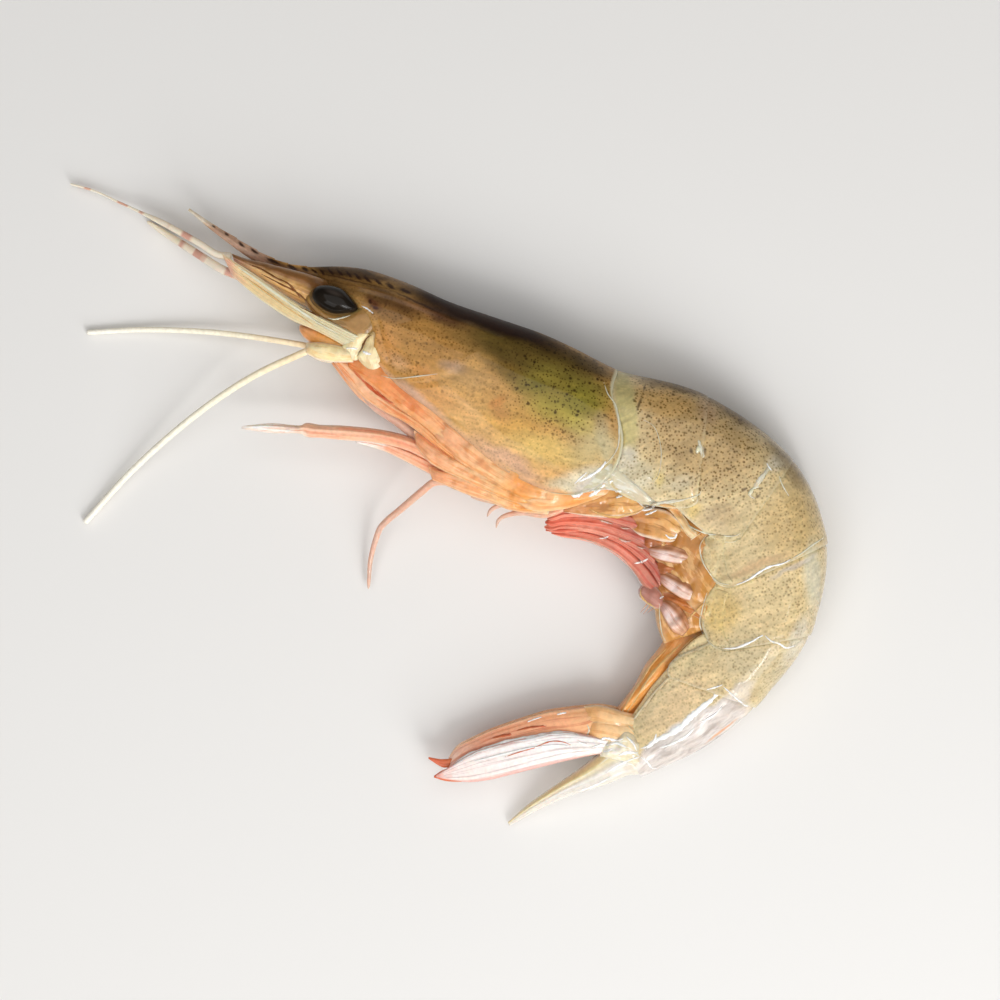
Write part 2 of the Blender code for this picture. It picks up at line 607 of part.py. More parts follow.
def make_limb(name, collection):
    """A walking leg or a maxilliped: a jointed tube that thins to its tip."""
    path, root, tip, thick = LIMBS[name]
    count = 2 * (len(path) - 1)
    points, radii = [], []
    for k in range(count + 1):
        t = k / count
        x, y = along(path, t)
        z = height_at(*path[0]) + root + (tip - root) * ramp(t)
        points.append((x, y, z))
        radii.append(thick * (1 - 0.6 * t ** 3) if k < count else thick * 0.22)
    tube(name, points, radii, "limb", collection)


def main():
    for obj in list(bpy.data.objects):
        bpy.data.objects.remove(obj)
    collection = bpy.data.collections.new("raw_shrimp")
    bpy.context.scene.collection.children.link(collection)
    make_carapace(collection)
    make_segments(collection)
    make_belly(collection)
    make_telson(collection)
    for side in (1, -1):
        make_eye(side, collection)
        make_antennule(side, collection)
        make_antenna(side, collection)
        for number in range(len(PLEOPOD_PATHS)):
            make_pleopod(number, side, collection)
        for kind in UROPOD_PATHS:
            make_uropod(kind, side, collection)
    for name in LIMBS:
        make_limb(name, collection)


main()
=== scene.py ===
# %% [markdown]
# # A raw head-on shrimp
#
# This lesson dresses a plain CAD model of a raw shrimp that lies curled on its right side, as it
# came from the net: head, feelers, legs and shell still on. The CAD solids give every piece its
# true place and size. Here each one is made again with its fine relief, thin rims and wet finish.
#
# The page is the XY plane, seen from above, and Z points out of the animal's left flank. Sizes are
# in millimetres, and one factor turns them into Blender's metres.

# %% Load the fixed frame
import math

import bmesh
import bpy
import numpy as np
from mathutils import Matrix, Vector, noise
from mathutils.bvhtree import BVHTree


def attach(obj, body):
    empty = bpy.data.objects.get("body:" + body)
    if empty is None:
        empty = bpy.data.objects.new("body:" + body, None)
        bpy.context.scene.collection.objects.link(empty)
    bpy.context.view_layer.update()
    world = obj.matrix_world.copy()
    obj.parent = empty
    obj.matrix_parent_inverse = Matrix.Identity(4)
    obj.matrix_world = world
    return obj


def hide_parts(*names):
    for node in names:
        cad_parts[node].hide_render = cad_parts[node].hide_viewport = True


MM = 0.001
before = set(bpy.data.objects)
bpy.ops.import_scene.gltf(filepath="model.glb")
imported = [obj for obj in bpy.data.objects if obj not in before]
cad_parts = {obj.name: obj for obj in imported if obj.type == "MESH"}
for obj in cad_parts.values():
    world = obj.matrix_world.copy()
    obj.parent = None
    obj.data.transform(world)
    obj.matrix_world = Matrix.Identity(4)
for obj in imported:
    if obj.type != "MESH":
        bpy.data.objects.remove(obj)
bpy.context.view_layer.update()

# %% [markdown]
# ## Reading curves
#
# A shrimp has no straight lines, so nearly every size here changes along the animal. Each one is
# kept as a few measured keys, and one helper turns the keys into a smooth function. It reads whole
# arrays at once, which keeps thousands of skin points quick to work out.

# %% Curves through a few keys
def curve(keys):
    """A smooth function through (place, value) keys. A value is a number or a point."""
    places = np.array([key[0] for key in keys], float)
    values = np.array([key[1] for key in keys], float).reshape(len(keys), -1)
    last = len(keys) - 1
    spots = np.arange(last + 1)
    before, after = np.maximum(spots - 1, 0), np.minimum(spots + 1, last)
    slopes = (values[after] - values[before]) / (places[after] - places[before])[:, None]

    def read(x):
        x = np.clip(np.asarray(x, float), places[0], places[-1])
        i = np.clip(np.searchsorted(places, x, side="right") - 1, 0, last - 1)
        span = (places[i + 1] - places[i])[..., None]
        t = (x - places[i])[..., None] / span
        blend = t * t * (3 - 2 * t)
        found = (values[i] * (1 - blend) + values[i + 1] * blend
                 + slopes[i] * span * t * (1 - t) ** 2 - slopes[i + 1] * span * t * t * (1 - t))
        return found[..., 0] if found.shape[-1] == 1 else found

    return read


def run_along(points):
    """Distance run along a row of points, from 0 at the first."""
    return np.r_[0.0, np.cumsum(np.linalg.norm(np.diff(points, axis=0), axis=1))]


def path(points):
    """A smooth function of 0 to 1 through evenly counted points or numbers."""
    read = curve(list(enumerate(points)))
    return lambda t: read(np.asarray(t, float) * (len(points) - 1))


def route(points):
    """A smooth function of 0 to 1 through points, even in length."""
    points = np.asarray(points, float)
    run = run_along(points)
    return curve(list(zip(run / run[-1], points)))


def ramp(t):
    """0 to 1 as t goes from 0 to 1, with level ends."""
    t = np.clip(t, 0.0, 1.0)
    return t * t * (3 - 2 * t)


def bell(x, width):
    """A smooth bump of height 1 at x = 0."""
    return np.exp(-(x / width) ** 2)


def unit(vectors):
    """Vectors made 1 long."""
    return vectors / np.linalg.norm(vectors, axis=-1, keepdims=True)


# %% [markdown]
# ## Skins and sweeps
#
# A shell plate, a leg and a feeler are all a row of closed rings. One helper turns a grid of ring
# points into a mesh, closes both ends and smooths the shading. A second helper makes the grid for
# anything long and thin: it carries an oval along a path that stays close to the page.

# %% From a grid of rings to a piece
PIECES = []


def add_piece(name, mesh, finish, replaces=()):
    """Put a mesh in the scene as a piece that rides on the one body."""
    mesh.materials.append(finish)
    piece = bpy.data.objects.new(name, mesh)
    bpy.context.scene.collection.objects.link(piece)
    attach(piece, "root")
    if replaces:
        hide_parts(*replaces)
    PIECES.append(piece)
    return piece


def skin(name, grids, **shares):
    """A mesh over grids of points (rows, columns, 3) in millimetres, each a row of closed rings.

    Point j of a ring faces point n - 1 - j across it, so an end closes like a ladder. shares are
    numbers kept on each point for the finish to read.
    """
    points, faces = [], []
    for grid in grids:
        start = sum(len(part) for part in points)
        rows, columns = grid.shape[:2]
        index = start + np.arange(rows * columns).reshape(rows, columns)
        turned = np.roll(index, -1, axis=1)
        sides = np.stack([index[:-1], turned[:-1], turned[1:], index[1:]], -1)
        faces += sides.reshape(-1, 4).tolist()
        for row in (index[0], index[-1]):
            half = np.arange(columns // 2 - 1)
            far = columns - 1 - half
            faces += np.stack([row[half], row[half + 1], row[far - 1], row[far]], -1).tolist()
        points.append(grid.reshape(-1, 3))
    points = np.concatenate(points)
    points[:, 2] = np.maximum(points[:, 2], 0.0)
    mesh = bpy.data.meshes.new(name)
    mesh.from_pydata((points * MM).tolist(), [], faces)
    work = bmesh.new()
    work.from_mesh(mesh)
    bmesh.ops.recalc_face_normals(work, faces=work.faces)
    work.to_mesh(mesh)
    work.free()
    mesh.shade_smooth()
    for share, values in shares.items():
        flat = np.concatenate([np.asarray(value, float).ravel() for value in values])
        mesh.attributes.new(share, "FLOAT", "POINT").data.foreach_set("value", flat)
    return mesh


def ring_angles(columns):
    """Angles round a ring, half a step off its axis so that the flanks pair up."""
    return 2 * np.pi * (np.arange(columns) + 0.5) / columns


def round_end(gone, reach, least):
    """A quarter circle that rises to 1. least, a square, keeps the end open."""
    return np.sqrt(np.clip(1 - (1 - np.clip(gone / reach, 0.0, 1.0)) ** 2, least, 1.0))


def oval_sweep(centres, across, half_wide, half_deep, columns=16, round_ends=(0.0, 0.0)):
    """Ovals along centres (rows, 3). across is the wide direction at each row, in the page."""
    run = run_along(centres)
    swell = np.ones(len(centres))
    for cap, gone in zip(round_ends, (run, run[-1] - run)):
        if cap:
            swell *= round_end(gone, cap, 0.0009)
    angle = ring_angles(columns)
    wide = across * (half_wide * swell)[:, None]
    grid = centres[:, None, :] + wide[:, None, :] * np.cos(angle)[None, :, None]
    grid[..., 2] += (half_deep * swell)[:, None] * np.sin(angle)[None, :]
    return grid


def end_swell(t, ends):
    """1 along the middle and a round fall to almost nothing over each end, as shares of the length."""
    swell = np.ones(len(t))
    for end, gone in zip(ends, (t, 1 - t)):
        if end:
            swell *= round_end(gone, end, 0.002)
    return swell


SKIN_LUMP = 1.3                  # size in millimetres of the lumps in soft skin


def band_grid(upper, lower, heights, bulge, tilt=0.0, ribs=(), square=1.0, ends=(0.15, 0.15),
              rough=0.0, columns=32, rows=70):
    """A soft strip between two edges in the page, with shares of its length and width.

    heights are those of its midplane from root to tip, and bulge is half its thickness. tilt lifts
    the upper edge. ribs are (place across, height, width) on the top face. square below 1 makes
    the section boxier, ends round off, and rough is the height of the lumps.
    """
    t = np.linspace(0.0, 1.0, rows)
    a, b = route(upper)(t), route(lower)(t)
    angle = ring_angles(columns)
    x, rise = np.cos(angle), np.sin(angle)
    rise = np.sign(rise) * np.abs(rise) ** square
    swell = end_swell(t, ends)
    half = (path(bulge)(t) if np.ndim(bulge) else np.full(rows, bulge)) * swell
    page = (a + b)[:, None] / 2 + (a - b)[:, None] / 2 * x[None, :, None]
    z = path(heights)(t)[:, None] + tilt * x + half[:, None] * rise
    for place, height, width in ribs:
        z = z + height * bell(x - place, width) * (rise > 0) * swell[:, None]
    grid = np.concatenate([page, z[..., None]], -1)
    if rough:
        grid[..., 2] += lumps(grid, SKIN_LUMP, rough) * np.sign(rise)
    shares = {"share": [np.repeat(t, columns)], "across": [np.tile(x, rows)],
              "run": [np.repeat(run_along((a + b) / 2), columns)]}
    return grid, shares


def add_band(name, finish, slot, node, upper, lower, heights, bulge, **more):
    """Make one strip and let it stand for its CAD node, if it has one."""
    grid, shares = band_grid(upper, lower, heights, bulge, **more)
    return add_piece(name, skin(name, [grid], **shares), finish, [node] if node else [])


def page_across(centres):
    """Unit vectors in the page, square to a row of centres."""
    step = unit(np.gradient(centres[:, :2], axis=0))
    return np.stack([-step[:, 1], step[:, 0], np.zeros(len(step))], -1)


def lumps(points, size, height, seed=0.0):
    """Soft irregular relief: smooth noise with lumps of a given size in millimetres."""
    flat = points.reshape(-1, 3) / size + seed
    values = np.array([noise.noise(Vector(p)) for p in flat])
    return (values * height).reshape(points.shape[:-1])


def line_distance(x, y, points):
    """Distance in the page from (x, y) to a line through points."""
    near = np.full(np.shape(x), 1e9)
    for (x0, y0), (x1, y1) in zip(points, points[1:]):
        dx, dy = x1 - x0, y1 - y0
        share = np.clip(((x - x0) * dx + (y - y0) * dy) / (dx * dx + dy * dy), 0.0, 1.0)
        near = np.minimum(near, np.hypot(x - x0 - share * dx, y - y0 - share * dy))
    return near


# %% [markdown]
# ## Finishes
#
# Raw shrimp shell is chitin: clear, thin and wet. Its colour comes from what lies under it and from
# pigment cells, so it drifts from brown to olive to cream with no hard edge. The finishes here lay
# soft ovals of colour over one ground colour, then speckle them. Each oval is a place on the animal
# in millimetres, so the colours stay put from every side.

# %% Helpers for nodes and colours
def add_node(tree, kind, links=None, **settings):
    """Add a node, set its properties, and fill or link its sockets."""
    node = tree.nodes.new("ShaderNode" + kind)
    for name, value in settings.items():
        setattr(node, name, value)
    for socket, value in (links or {}).items():
        if isinstance(value, bpy.types.NodeSocket):
            tree.links.new(value, node.inputs[socket])
        else:
            node.inputs[socket].default_value = value
    return node


def tint(code):
    """An sRGB hex colour as linear RGBA."""
    parts = [int(code[i:i + 2], 16) / 255 for i in (1, 3, 5)]
    return (*[p / 12.92 if p <= 0.04045 else ((p + 0.055) / 1.055) ** 2.4 for p in parts], 1.0)


def grey(value):
    """A share as a colour, so that the ovals can paint shares too."""
    return (value, value, value, 1.0)


def set_stops(ladder, stops):
    """Give a colour ramp its (place, colour) stops and hand back its colour."""
    steps = ladder.color_ramp.elements
    while len(steps) < len(stops):
        steps.new(0.5)
    for step, (place, code) in zip(steps, stops):
        step.position = place
        step.color = tint(code)
    return ladder.outputs["Color"]


# %% [markdown]
# A real shell is coloured in layers: clouds of flesh and organs, pigment dots, and the shine of the water,
# which is painted into the colour as a highlight. Each is one function, which takes millimetres as measured
# on the animal.

# %% Clouds, ovals, freckles and painted glare
def places(tree, wander=0.8, size=4.0):
    """Plain and wandering positions in millimetres. The wander keeps colour edges natural."""
    spot = add_node(tree, "TexCoord").outputs["Object"]
    plain = add_node(tree, "VectorMath", {0: spot, "Scale": 1 / MM},
                     operation="SCALE").outputs["Vector"]
    cloud = add_node(tree, "TexNoise", {"Vector": plain, "Scale": 1 / size, "Detail": 3.0})
    shift = add_node(tree, "VectorMath", {0: cloud.outputs["Color"], 1: (0.5, 0.5, 0.5)},
                     operation="SUBTRACT").outputs["Vector"]
    moved = add_node(tree, "VectorMath",
                     {0: shift, 1: (2 * wander,) * 3, 2: plain}, operation="MULTIPLY_ADD")
    return plain, moved.outputs["Vector"]


def paint(tree, ground, where, ovals):
    """Lay soft ovals (x, y, half length, half width, turn, colour, strength, hard core share)."""
    for x, y, long, wide, turn, colour, strength, core in ovals:
        local = add_node(tree, "Mapping",
                         {"Vector": where, "Location": (x, y, 0.0),
                          "Rotation": (0.0, 0.0, math.radians(turn)),
                          "Scale": (long, wide, 1e5)}, vector_type="TEXTURE")
        far = add_node(tree, "VectorMath", {0: local.outputs["Vector"]},
                       operation="LENGTH").outputs["Value"]
        mask = add_node(tree, "MapRange",
                        {"Value": far, "From Min": 1.0, "From Max": core, "To Min": 0.0,
                         "To Max": strength}, interpolation_type="SMOOTHSTEP").outputs["Result"]
        colour = tint(colour) if isinstance(colour, str) else grey(colour)
        ground = add_node(tree, "Mix", {0: mask, 6: ground, 7: colour},
                          data_type="RGBA").outputs[2]
    return ground


def freckle(tree, ground, where, pitch, radius, colour, amount):
    """Round pigment dots in cells of a pitch in millimetres. They dim the ground by a colour."""
    cells = add_node(tree, "TexVoronoi",
                     {"Vector": where, "Scale": 1 / pitch, "Randomness": 0.85})
    dot = add_node(tree, "MapRange",
                   {"Value": cells.outputs["Distance"], "From Min": 1.45 * radius / pitch,
                    "From Max": 0.4 * radius / pitch}, interpolation_type="SMOOTHSTEP")
    share = add_node(tree, "Math", {0: dot.outputs["Result"], 1: amount},
                     operation="MULTIPLY").outputs["Value"]
    return add_node(tree, "Mix", {0: share, 6: ground, 7: tint(colour)},
                    data_type="RGBA", blend_type="MULTIPLY").outputs[2]


def paint_creased_glare(tree, colour, where, ovals, turn):
    """Paint a highlight where the wet shell shines: bright streaks like creased foil that run one way."""
    lay = add_node(tree, "Mapping", {"Vector": where, "Scale": (5.0, 1.0, 2.0),
                                     "Rotation": (0.0, 0.0, math.radians(turn))},
                   vector_type="TEXTURE").outputs["Vector"]
    cloud = add_node(tree, "TexNoise", {"Vector": lay, "Scale": 1.1, "Detail": 3.0,
                                        "Roughness": 0.65})
    ladder = add_node(tree, "ValToRGB", {"Fac": cloud.outputs["Fac"]})
    glare_colour = set_stops(ladder, [(0.35, "#ada199"), (0.48, "#ccc1b9"), (0.62, "#e2dad2")])
    mask = paint(tree, grey(0.0), where, ovals)
    return add_node(tree, "Mix", {0: mask, 6: colour, 7: glare_colour},
                    data_type="RGBA").outputs[2]


def mottle(tree, colour, where, size, share):
    """Darken and lighten a colour in clouds of a given size in millimetres."""
    cloud = add_node(tree, "TexNoise", {"Vector": where, "Scale": 1 / size, "Detail": 2.0})
    level = add_node(tree, "MapRange",
                     {"Value": cloud.outputs["Fac"], "From Min": 0.3, "From Max": 0.7,
                      "To Min": 1 - share, "To Max": 1 + share}).outputs["Result"]
    return add_node(tree, "VectorMath", {0: colour, "Scale": level},
                    operation="SCALE").outputs["Vector"]


# %% [markdown]
# The clear shell has a smoother coat of water on it. Some light enters, wanders and comes out
# redder close by, which gives the soft look of raw flesh instead of painted plastic.

# %% One wet surface for all finishes
SHELL_IOR, WATER_IOR = 1.45, 1.33
RED_REACH = (1.0, 0.6, 0.4)      # shares for red, green and blue light in flesh


def new_finish(name):
    """A new material, its node tree and its shader."""
    finish = bpy.data.materials.new(name)
    finish.use_nodes = True
    return finish, finish.node_tree, finish.node_tree.nodes["Principled BSDF"]


def wet(shader, roughness=0.25, coat=0.9, coat_roughness=0.08, through=0.35, depth=1.2):
    """Set the wet, slightly see-through surface. depth is how far light wanders, in mm."""
    surface = {"Roughness": roughness, "IOR": SHELL_IOR, "Specular IOR Level": 0.2,
               "Coat Weight": coat, "Coat Roughness": coat_roughness, "Coat IOR": WATER_IOR,
               "Subsurface Weight": through, "Subsurface Scale": depth * MM,
               "Subsurface Radius": RED_REACH}
    for socket, value in surface.items():
        shader.inputs[socket].default_value = value


def ripple(tree, shader, where, size, height):
    """Fine unevenness in the wet surface, as a bump of true size and height in millimetres."""
    cloud = add_node(tree, "TexNoise", {"Vector": where, "Scale": 1 / size, "Detail": 4.0})
    bump = add_node(tree, "Bump", {"Height": cloud.outputs["Fac"], "Strength": 1.0,
                                   "Distance": height * MM})
    tree.links.new(bump.outputs["Normal"], shader.inputs["Normal"])


# %% [markdown]
# The plates are clear, so organs and muscle show through, softly edged. Over them lie a grain, two sizes of
# pigment dot, crisp dark marks and a painted highlight of the water's creased shine.

# %% Shell finish: clear chitin, painted and speckled
def chitin_finish(name, ground, ovals, marks, dots, dot_ovals, dry_ovals, rim_colour, hem_colour,
                  painted_glare_ovals, glare_turn, grain_turn):
    """dots are (pitch, radius, colour) in millimetres. Marks are ovals with crisp edges.

    The rim share of a plate is paler and bare, and its hem share shows the flesh beneath. The film of water
    is thin over dry_ovals. A painted highlight of creased shine lies in the glare ovals.
    """
    finish, tree, shader = new_finish(name)
    plain, wandering = places(tree, 1.1)
    _, close = places(tree, 0.25, 1.2)
    colour = mottle(tree, paint(tree, tint(ground), wandering, ovals), plain, 1.6, 0.10)
    colour = mottle(tree, colour, plain, 0.4, 0.08)
    grain = add_node(tree, "Mapping", {"Vector": wandering, "Scale": (5.0, 0.7, 2.0),
                                       "Rotation": (0.0, 0.0, math.radians(grain_turn))},
                     vector_type="TEXTURE").outputs["Vector"]
    colour = mottle(tree, colour, grain, 1.0, 0.14)
    rim, hem = (add_node(tree, "Attribute", attribute_name=word).outputs["Fac"]
                for word in ("rim", "hem"))
    for share, code in ((hem, hem_colour), (rim, rim_colour)):
        colour = add_node(tree, "Mix", {0: share, 6: colour, 7: tint(code)},
                          data_type="RGBA").outputs[2]
    bare = add_node(tree, "Math", {0: 1.0, 1: rim}, operation="SUBTRACT").outputs["Value"]
    amount = add_node(tree, "Math", {0: paint(tree, grey(0.35), wandering, dot_ovals),
                                     1: bare}, operation="MULTIPLY").outputs["Value"]
    for pitch, radius, code in dots:
        colour = freckle(tree, colour, plain, pitch, radius, code, amount)
    # painted highlight: the water's creased shine, laid into the colour inside the glare ovals
    colour = paint_creased_glare(tree, colour, wandering, painted_glare_ovals, glare_turn)
    tree.links.new(paint(tree, colour, close, marks), shader.inputs["Base Color"])
    wet(shader, roughness=0.34, coat=0.9, coat_roughness=0.06)
    shader.inputs["Specular IOR Level"].default_value = 0.06
    tree.links.new(paint(tree, grey(0.9), wandering, dry_ovals), shader.inputs["Coat Weight"])
    ripple(tree, shader, plain, 1.4, 0.04)
    return finish


# %% [markdown]
# Olive and brown show where the liver lies, amber below it and mauve at the gills. A dark crest runs along
# the back, partly pigment and partly painted shade where the back turns away from the light. Its slots
# between the beak's teeth are as read from the picture, in pixels.

# %% Carapace colours: dark organs show through the clear shell
PICTURE_ZERO, PICTURE_SCALE = (447, 503), 7    # the pixel of the page's zero, and pixels to 1 mm
CREST_SLOTS = [(213, 226, 3.5, 1.3, -35), (226, 234, 4, 1.7, -35), (241, 244, 5.5, 2.1, -38),
               (254, 250.5, 7, 2.0, -33), (273, 261, 12, 2.2, -27), (292, 267, 8, 2.4, -24),
               (305, 269, 5.5, 2.2, -30), (314, 271, 5.5, 2.0, -42), (322, 272, 6, 1.8, -48),
               (331, 272, 6.5, 1.8, -50), (340, 273, 6.5, 1.8, -48), (349, 275, 7, 1.9, -46),
               (358, 277, 7, 2.0, -44), (368, 280, 8, 2.2, -40), (379, 283, 8, 2.2, -36),
               (391, 287, 8, 2.4, -32), (406, 292, 9, 2.6, -27)]
CREST_SLOTS = [((x - PICTURE_ZERO[0]) / PICTURE_SCALE, (PICTURE_ZERO[1] - y) / PICTURE_SCALE,
                long / PICTURE_SCALE, wide / PICTURE_SCALE, turn)
               for x, y, long, wide, turn in CREST_SLOTS]
CARAPACE_OVALS = [
    (-4.6, 22.6, 11, 8.6, -20, "#b88746", 0.9, 0.3),
    (-8.9, 21.9, 3.4, 4.9, -10, "#cc9252", 0.8, 0.2),
    (7.6, 9.0, 16, 6, -28, "#dbac6c", 0.9, 0.3),
    (-2.4, 15.4, 7.1, 2.9, -25, "#d89c5c", 0.7, 0.1),
    (-4.1, 15.0, 6.6, 1.3, -36, "#c8a48e", 0.8, 0.2),
    (3.3, 17.6, 5.7, 2.6, -10, "#c29c68", 0.6, 0.1),
    (11.9, 21.1, 16, 4.9, -22, "#5c4b20", 0.95, 0.35),
    (16.1, 15.9, 8.9, 5.1, -20, "#8c7c34", 0.95, 0.25),
    (19.7, 14.4, 4.9, 4.3, 10, "#8a8030", 0.8, 0.2),
    (9.7, 11.1, 7.9, 3.7, -15, "#cb9c4c", 0.75, 0.2),
    (7.1, 14.4, 2.3, 1.1, 40, "#c0783a", 0.5, 0.1),
    (14.0, 7.6, 7.9, 3.1, -15, "#d6b468", 0.85, 0.3),
    (20.7, 7.9, 6.3, 5.7, 30, "#c8bc8c", 0.7, 0.0),
    (18.7, 10.7, 3.7, 2.3, -10, "#ccba64", 0.6, 0.2),
    (22.7, 7.9, 1.9, 6.3, 12, "#c9c4a0", 0.45, 0.2),
    (8.7, 6.1, 8.9, 1.7, -29, "#cfa488", 0.75, 0.2),
    (19.3, 3.0, 6.3, 2.6, 12, "#ddd2b4", 0.9, 0.3),
    (13.3, 0.9, 10, 1.7, -4, "#e6ac68", 0.85, 0.3),
    (-14.6, 31.3, 10, 2.3, -12, "#7a582c", 0.9, 0.4),
    (-7.4, 28.4, 5.7, 2.1, -28, "#5a3c1e", 0.9, 0.2),
    (-2.4, 27.0, 6, 1.7, -24, "#6a4634", 0.7, 0.2),
    (-8.4, 27.3, 6, 2.1, -22, "#6a4828", 0.65, 0.3),
    (-0.1, 26.7, 6, 1.7, -24, "#40261a", 0.8, 0.2),
    (-6.7, 20.1, 3.1, 2, -30, "#dcb088", 0.5, 0.1),
    (15.6, 12.7, 6.6, 2.9, -18, "#a4983c", 0.6, 0.2),
    (11.0, 17.0, 4.9, 2, -18, "#736c26", 0.6, 0.2),
    (1.1, 19.3, 2.9, 1.3, -10, "#b89a84", 0.6, 0.1),
    (7.6, 12.9, 2.9, 1.7, -40, "#c48850", 0.5, 0.1),
    (-3.3, 18.6, 3.1, 1.3, -20, "#e2a262", 0.6, 0.2),
    (8.3, 18.6, 3.7, 1.9, -20, "#6c551c", 0.75, 0.2),
    # the dark crest along the back: partly pigment, partly painted shade at the edge that turns away from
    # the light
    (5.0, 26.6, 19, 2.4, -21.5, "#260e03", 0.985, 0.4),
    (20.4, 19.6, 5.7, 1.7, -23, "#4a3a1c", 0.8, 0.3),
    (-13.9, 33.0, 8.6, 1.1, -8, "#3c2613", 0.9, 0.4),
    (-10.3, 28.3, 1.7, 1.1, -40, "#4f2418", 0.75, 0.2),
    (-29.6, 36.9, 7.9, 1.7, -34, "#c4a088", 0.95, 0.5),
    (-35.3, 40.9, 2.6, 1, -38, "#dccfbc", 0.9, 0.4),
    (-23.1, 33.6, 4.9, 1.1, -18, "#7a4e2c", 0.9, 0.4),
    (-26.4, 34.4, 3.4, 0.43, -28, "#b08060", 0.8, 0.4),
]
CARAPACE_MARKS = [(*slot, "#2c130c", 0.9, 0.3) for slot in CREST_SLOTS] + [
    (-13.9, 31.8, 7.4, 0.19, -14, "#3c2210", 0.75, 0.2),
    (-13.6, 31.0, 7.1, 0.16, -14, "#5a3a1c", 0.6, 0.2),
    (-4.6, 28.7, 4.9, 0.23, -25, "#24110a", 0.7, 0.2),
    (-10.9, 28.6, 0.37, 0.51, 20, "#2e0f0a", 0.8, 0.3),
    (-10.1, 27.7, 0.63, 0.31, -25, "#3a1610", 0.8, 0.3),
    (-8.7, 28.0, 0.23, 0.57, -30, "#3a2412", 0.6, 0.2),
]
CARAPACE_DOTS = [
    (-3.9, 22.6, 11, 6.9, -20, 0.6, 1.0, 0.5),
    (16.1, 16.1, 11, 8.6, -20, 1.0, 1.0, 0.5),
    (10.4, 6.1, 10, 3.1, -25, 0.3, 1.0, 0.4),
    (0.4, 18.7, 5.1, 1.7, -15, 0.1, 1.0, 0.4),
    (-2.4, 14.0, 8.6, 2, -32, 0.1, 1.0, 0.4),
    (13.3, 0.4, 10, 2, -4, 0.0, 1.0, 0.5),
    (-28.1, 36.9, 14, 3.1, -34, 0.0, 1.0, 0.9),
]
CARAPACE_DRY = [(7.6, 25.4, 21, 4.3, -21.5, 0.03, 1.0, 0.5),
                (-12.4, 32.6, 11, 2.3, -9, 0.25, 1.0, 0.5)]
# Painted highlight on the carapace's lower rear corner.
CARAPACE_PAINTED_GLARE = [(20.4, 2.6, 3.7, 1.4, 20, 0.6, 1.0, 0.3)]
CARAPACE = chitin_finish(
    "carapace_chitin", "#c39656", CARAPACE_OVALS, CARAPACE_MARKS,
    [(0.44, 0.13, "#96865f"), (1.15, 0.24, "#85764f")], CARAPACE_DOTS, CARAPACE_DRY,
    rim_colour="#d2c8a4", hem_colour="#d8a888", painted_glare_ovals=CARAPACE_PAINTED_GLARE, glare_turn=-30,
    grain_turn=-18)
print("carapace ovals:", len(CARAPACE_OVALS))

# %% [markdown]
# The abdomen is nearly all white muscle: sand on the first plates, cream towards the tail, and brown along
# the back, partly pigment and partly painted shade where the back turns away from the light. Plate 6 carries
# the largest reflection on the animal, painted into its colour.

# %% Abdomen colours: pale muscle shows through
SEGMENT_OVALS = [
    (36.1, 9.0, 13, 8.6, -25, "#b39667", 0.9, 0.4),
    (31.0, -25.9, 8.3, 1.3, 50, "#ffdca6", 0.85, 0.2),
    (30.4, 14.7, 8.6, 3.4, -15, "#c8a062", 0.8, 0.2),
    (36.9, 13.3, 2, 3.7, 5, "#b99a78", 0.7, 0.2),
    (25.4, 13.3, 2.1, 8.6, 3, "#c2b47c", 0.95, 0.5),
    (25.0, 5.9, 3.1, 3.1, 20, "#cfc8b8", 0.85, 0.3),
    (27.6, 3.6, 5.7, 3.1, -20, "#c4b898", 0.8, 0.3),
    (30.1, 3.3, 1.3, 2.1, 20, "#cfb878", 0.8, 0.2),
    (35.3, -1.0, 1.9, 1.7, 0, "#d0b470", 0.75, 0.2),
    (33.3, 2.7, 3.1, 1.7, 30, "#bcb094", 0.7, 0.2),
    (38.7, -1.7, 4, 2.6, 20, "#b69e78", 0.8, 0.2),
    (49.0, -2.4, 6.4, 8.6, -10, "#c4a874", 0.8, 0.3),
    (47.3, 6.1, 2.9, 2, 40, "#d4cab2", 0.85, 0.3),
    (44.0, -8.9, 6.3, 1.1, 22, "#cfa980", 0.7, 0.2),
    (47.6, -13.9, 10, 7.1, -5, "#d6c092", 0.8, 0.3),
    # pale zone on the back of plates 3 and 4: partly pale shell, partly painted sheen
    (52.1, -10.3, 2.1, 6.9, 5, "#cdc6ac", 0.9, 0.3),
    (39.0, -15.6, 3.7, 4.9, 0, "#d2b26c", 0.7, 0.3),
    (44.7, -23.1, 8.6, 5.7, -30, "#c4b490", 0.85, 0.3),
    (49.7, -19.6, 2, 5.7, -25, "#d2c9b4", 0.8, 0.3),
    (31.9, -28.9, 8.6, 7.1, 40, "#d8be94", 0.85, 0.3),
    # painted highlight: plate 6's broad pale glare
    (34.7, -34.1, 11, 3.7, 33, "#dcd3cc", 0.95, 0.75),
    (39.9, -29.3, 3.1, 1.7, 40, "#c0b4a8", 0.8, 0.4),
    (42.1, -26.1, 2.3, 1, 50, "#b8a888", 0.6, 0.2),
    # brown along the back: partly pigment, partly painted shade where the back turns away from the light
    (32.1, 17.0, 8.9, 1.4, -14, "#5c421a", 0.8, 0.3),
    (41.4, 13.1, 7.4, 2, -32, "#62481e", 0.8, 0.3),
    (48.4, 5.9, 7.1, 2, -53, "#7e6434", 0.75, 0.3),
]
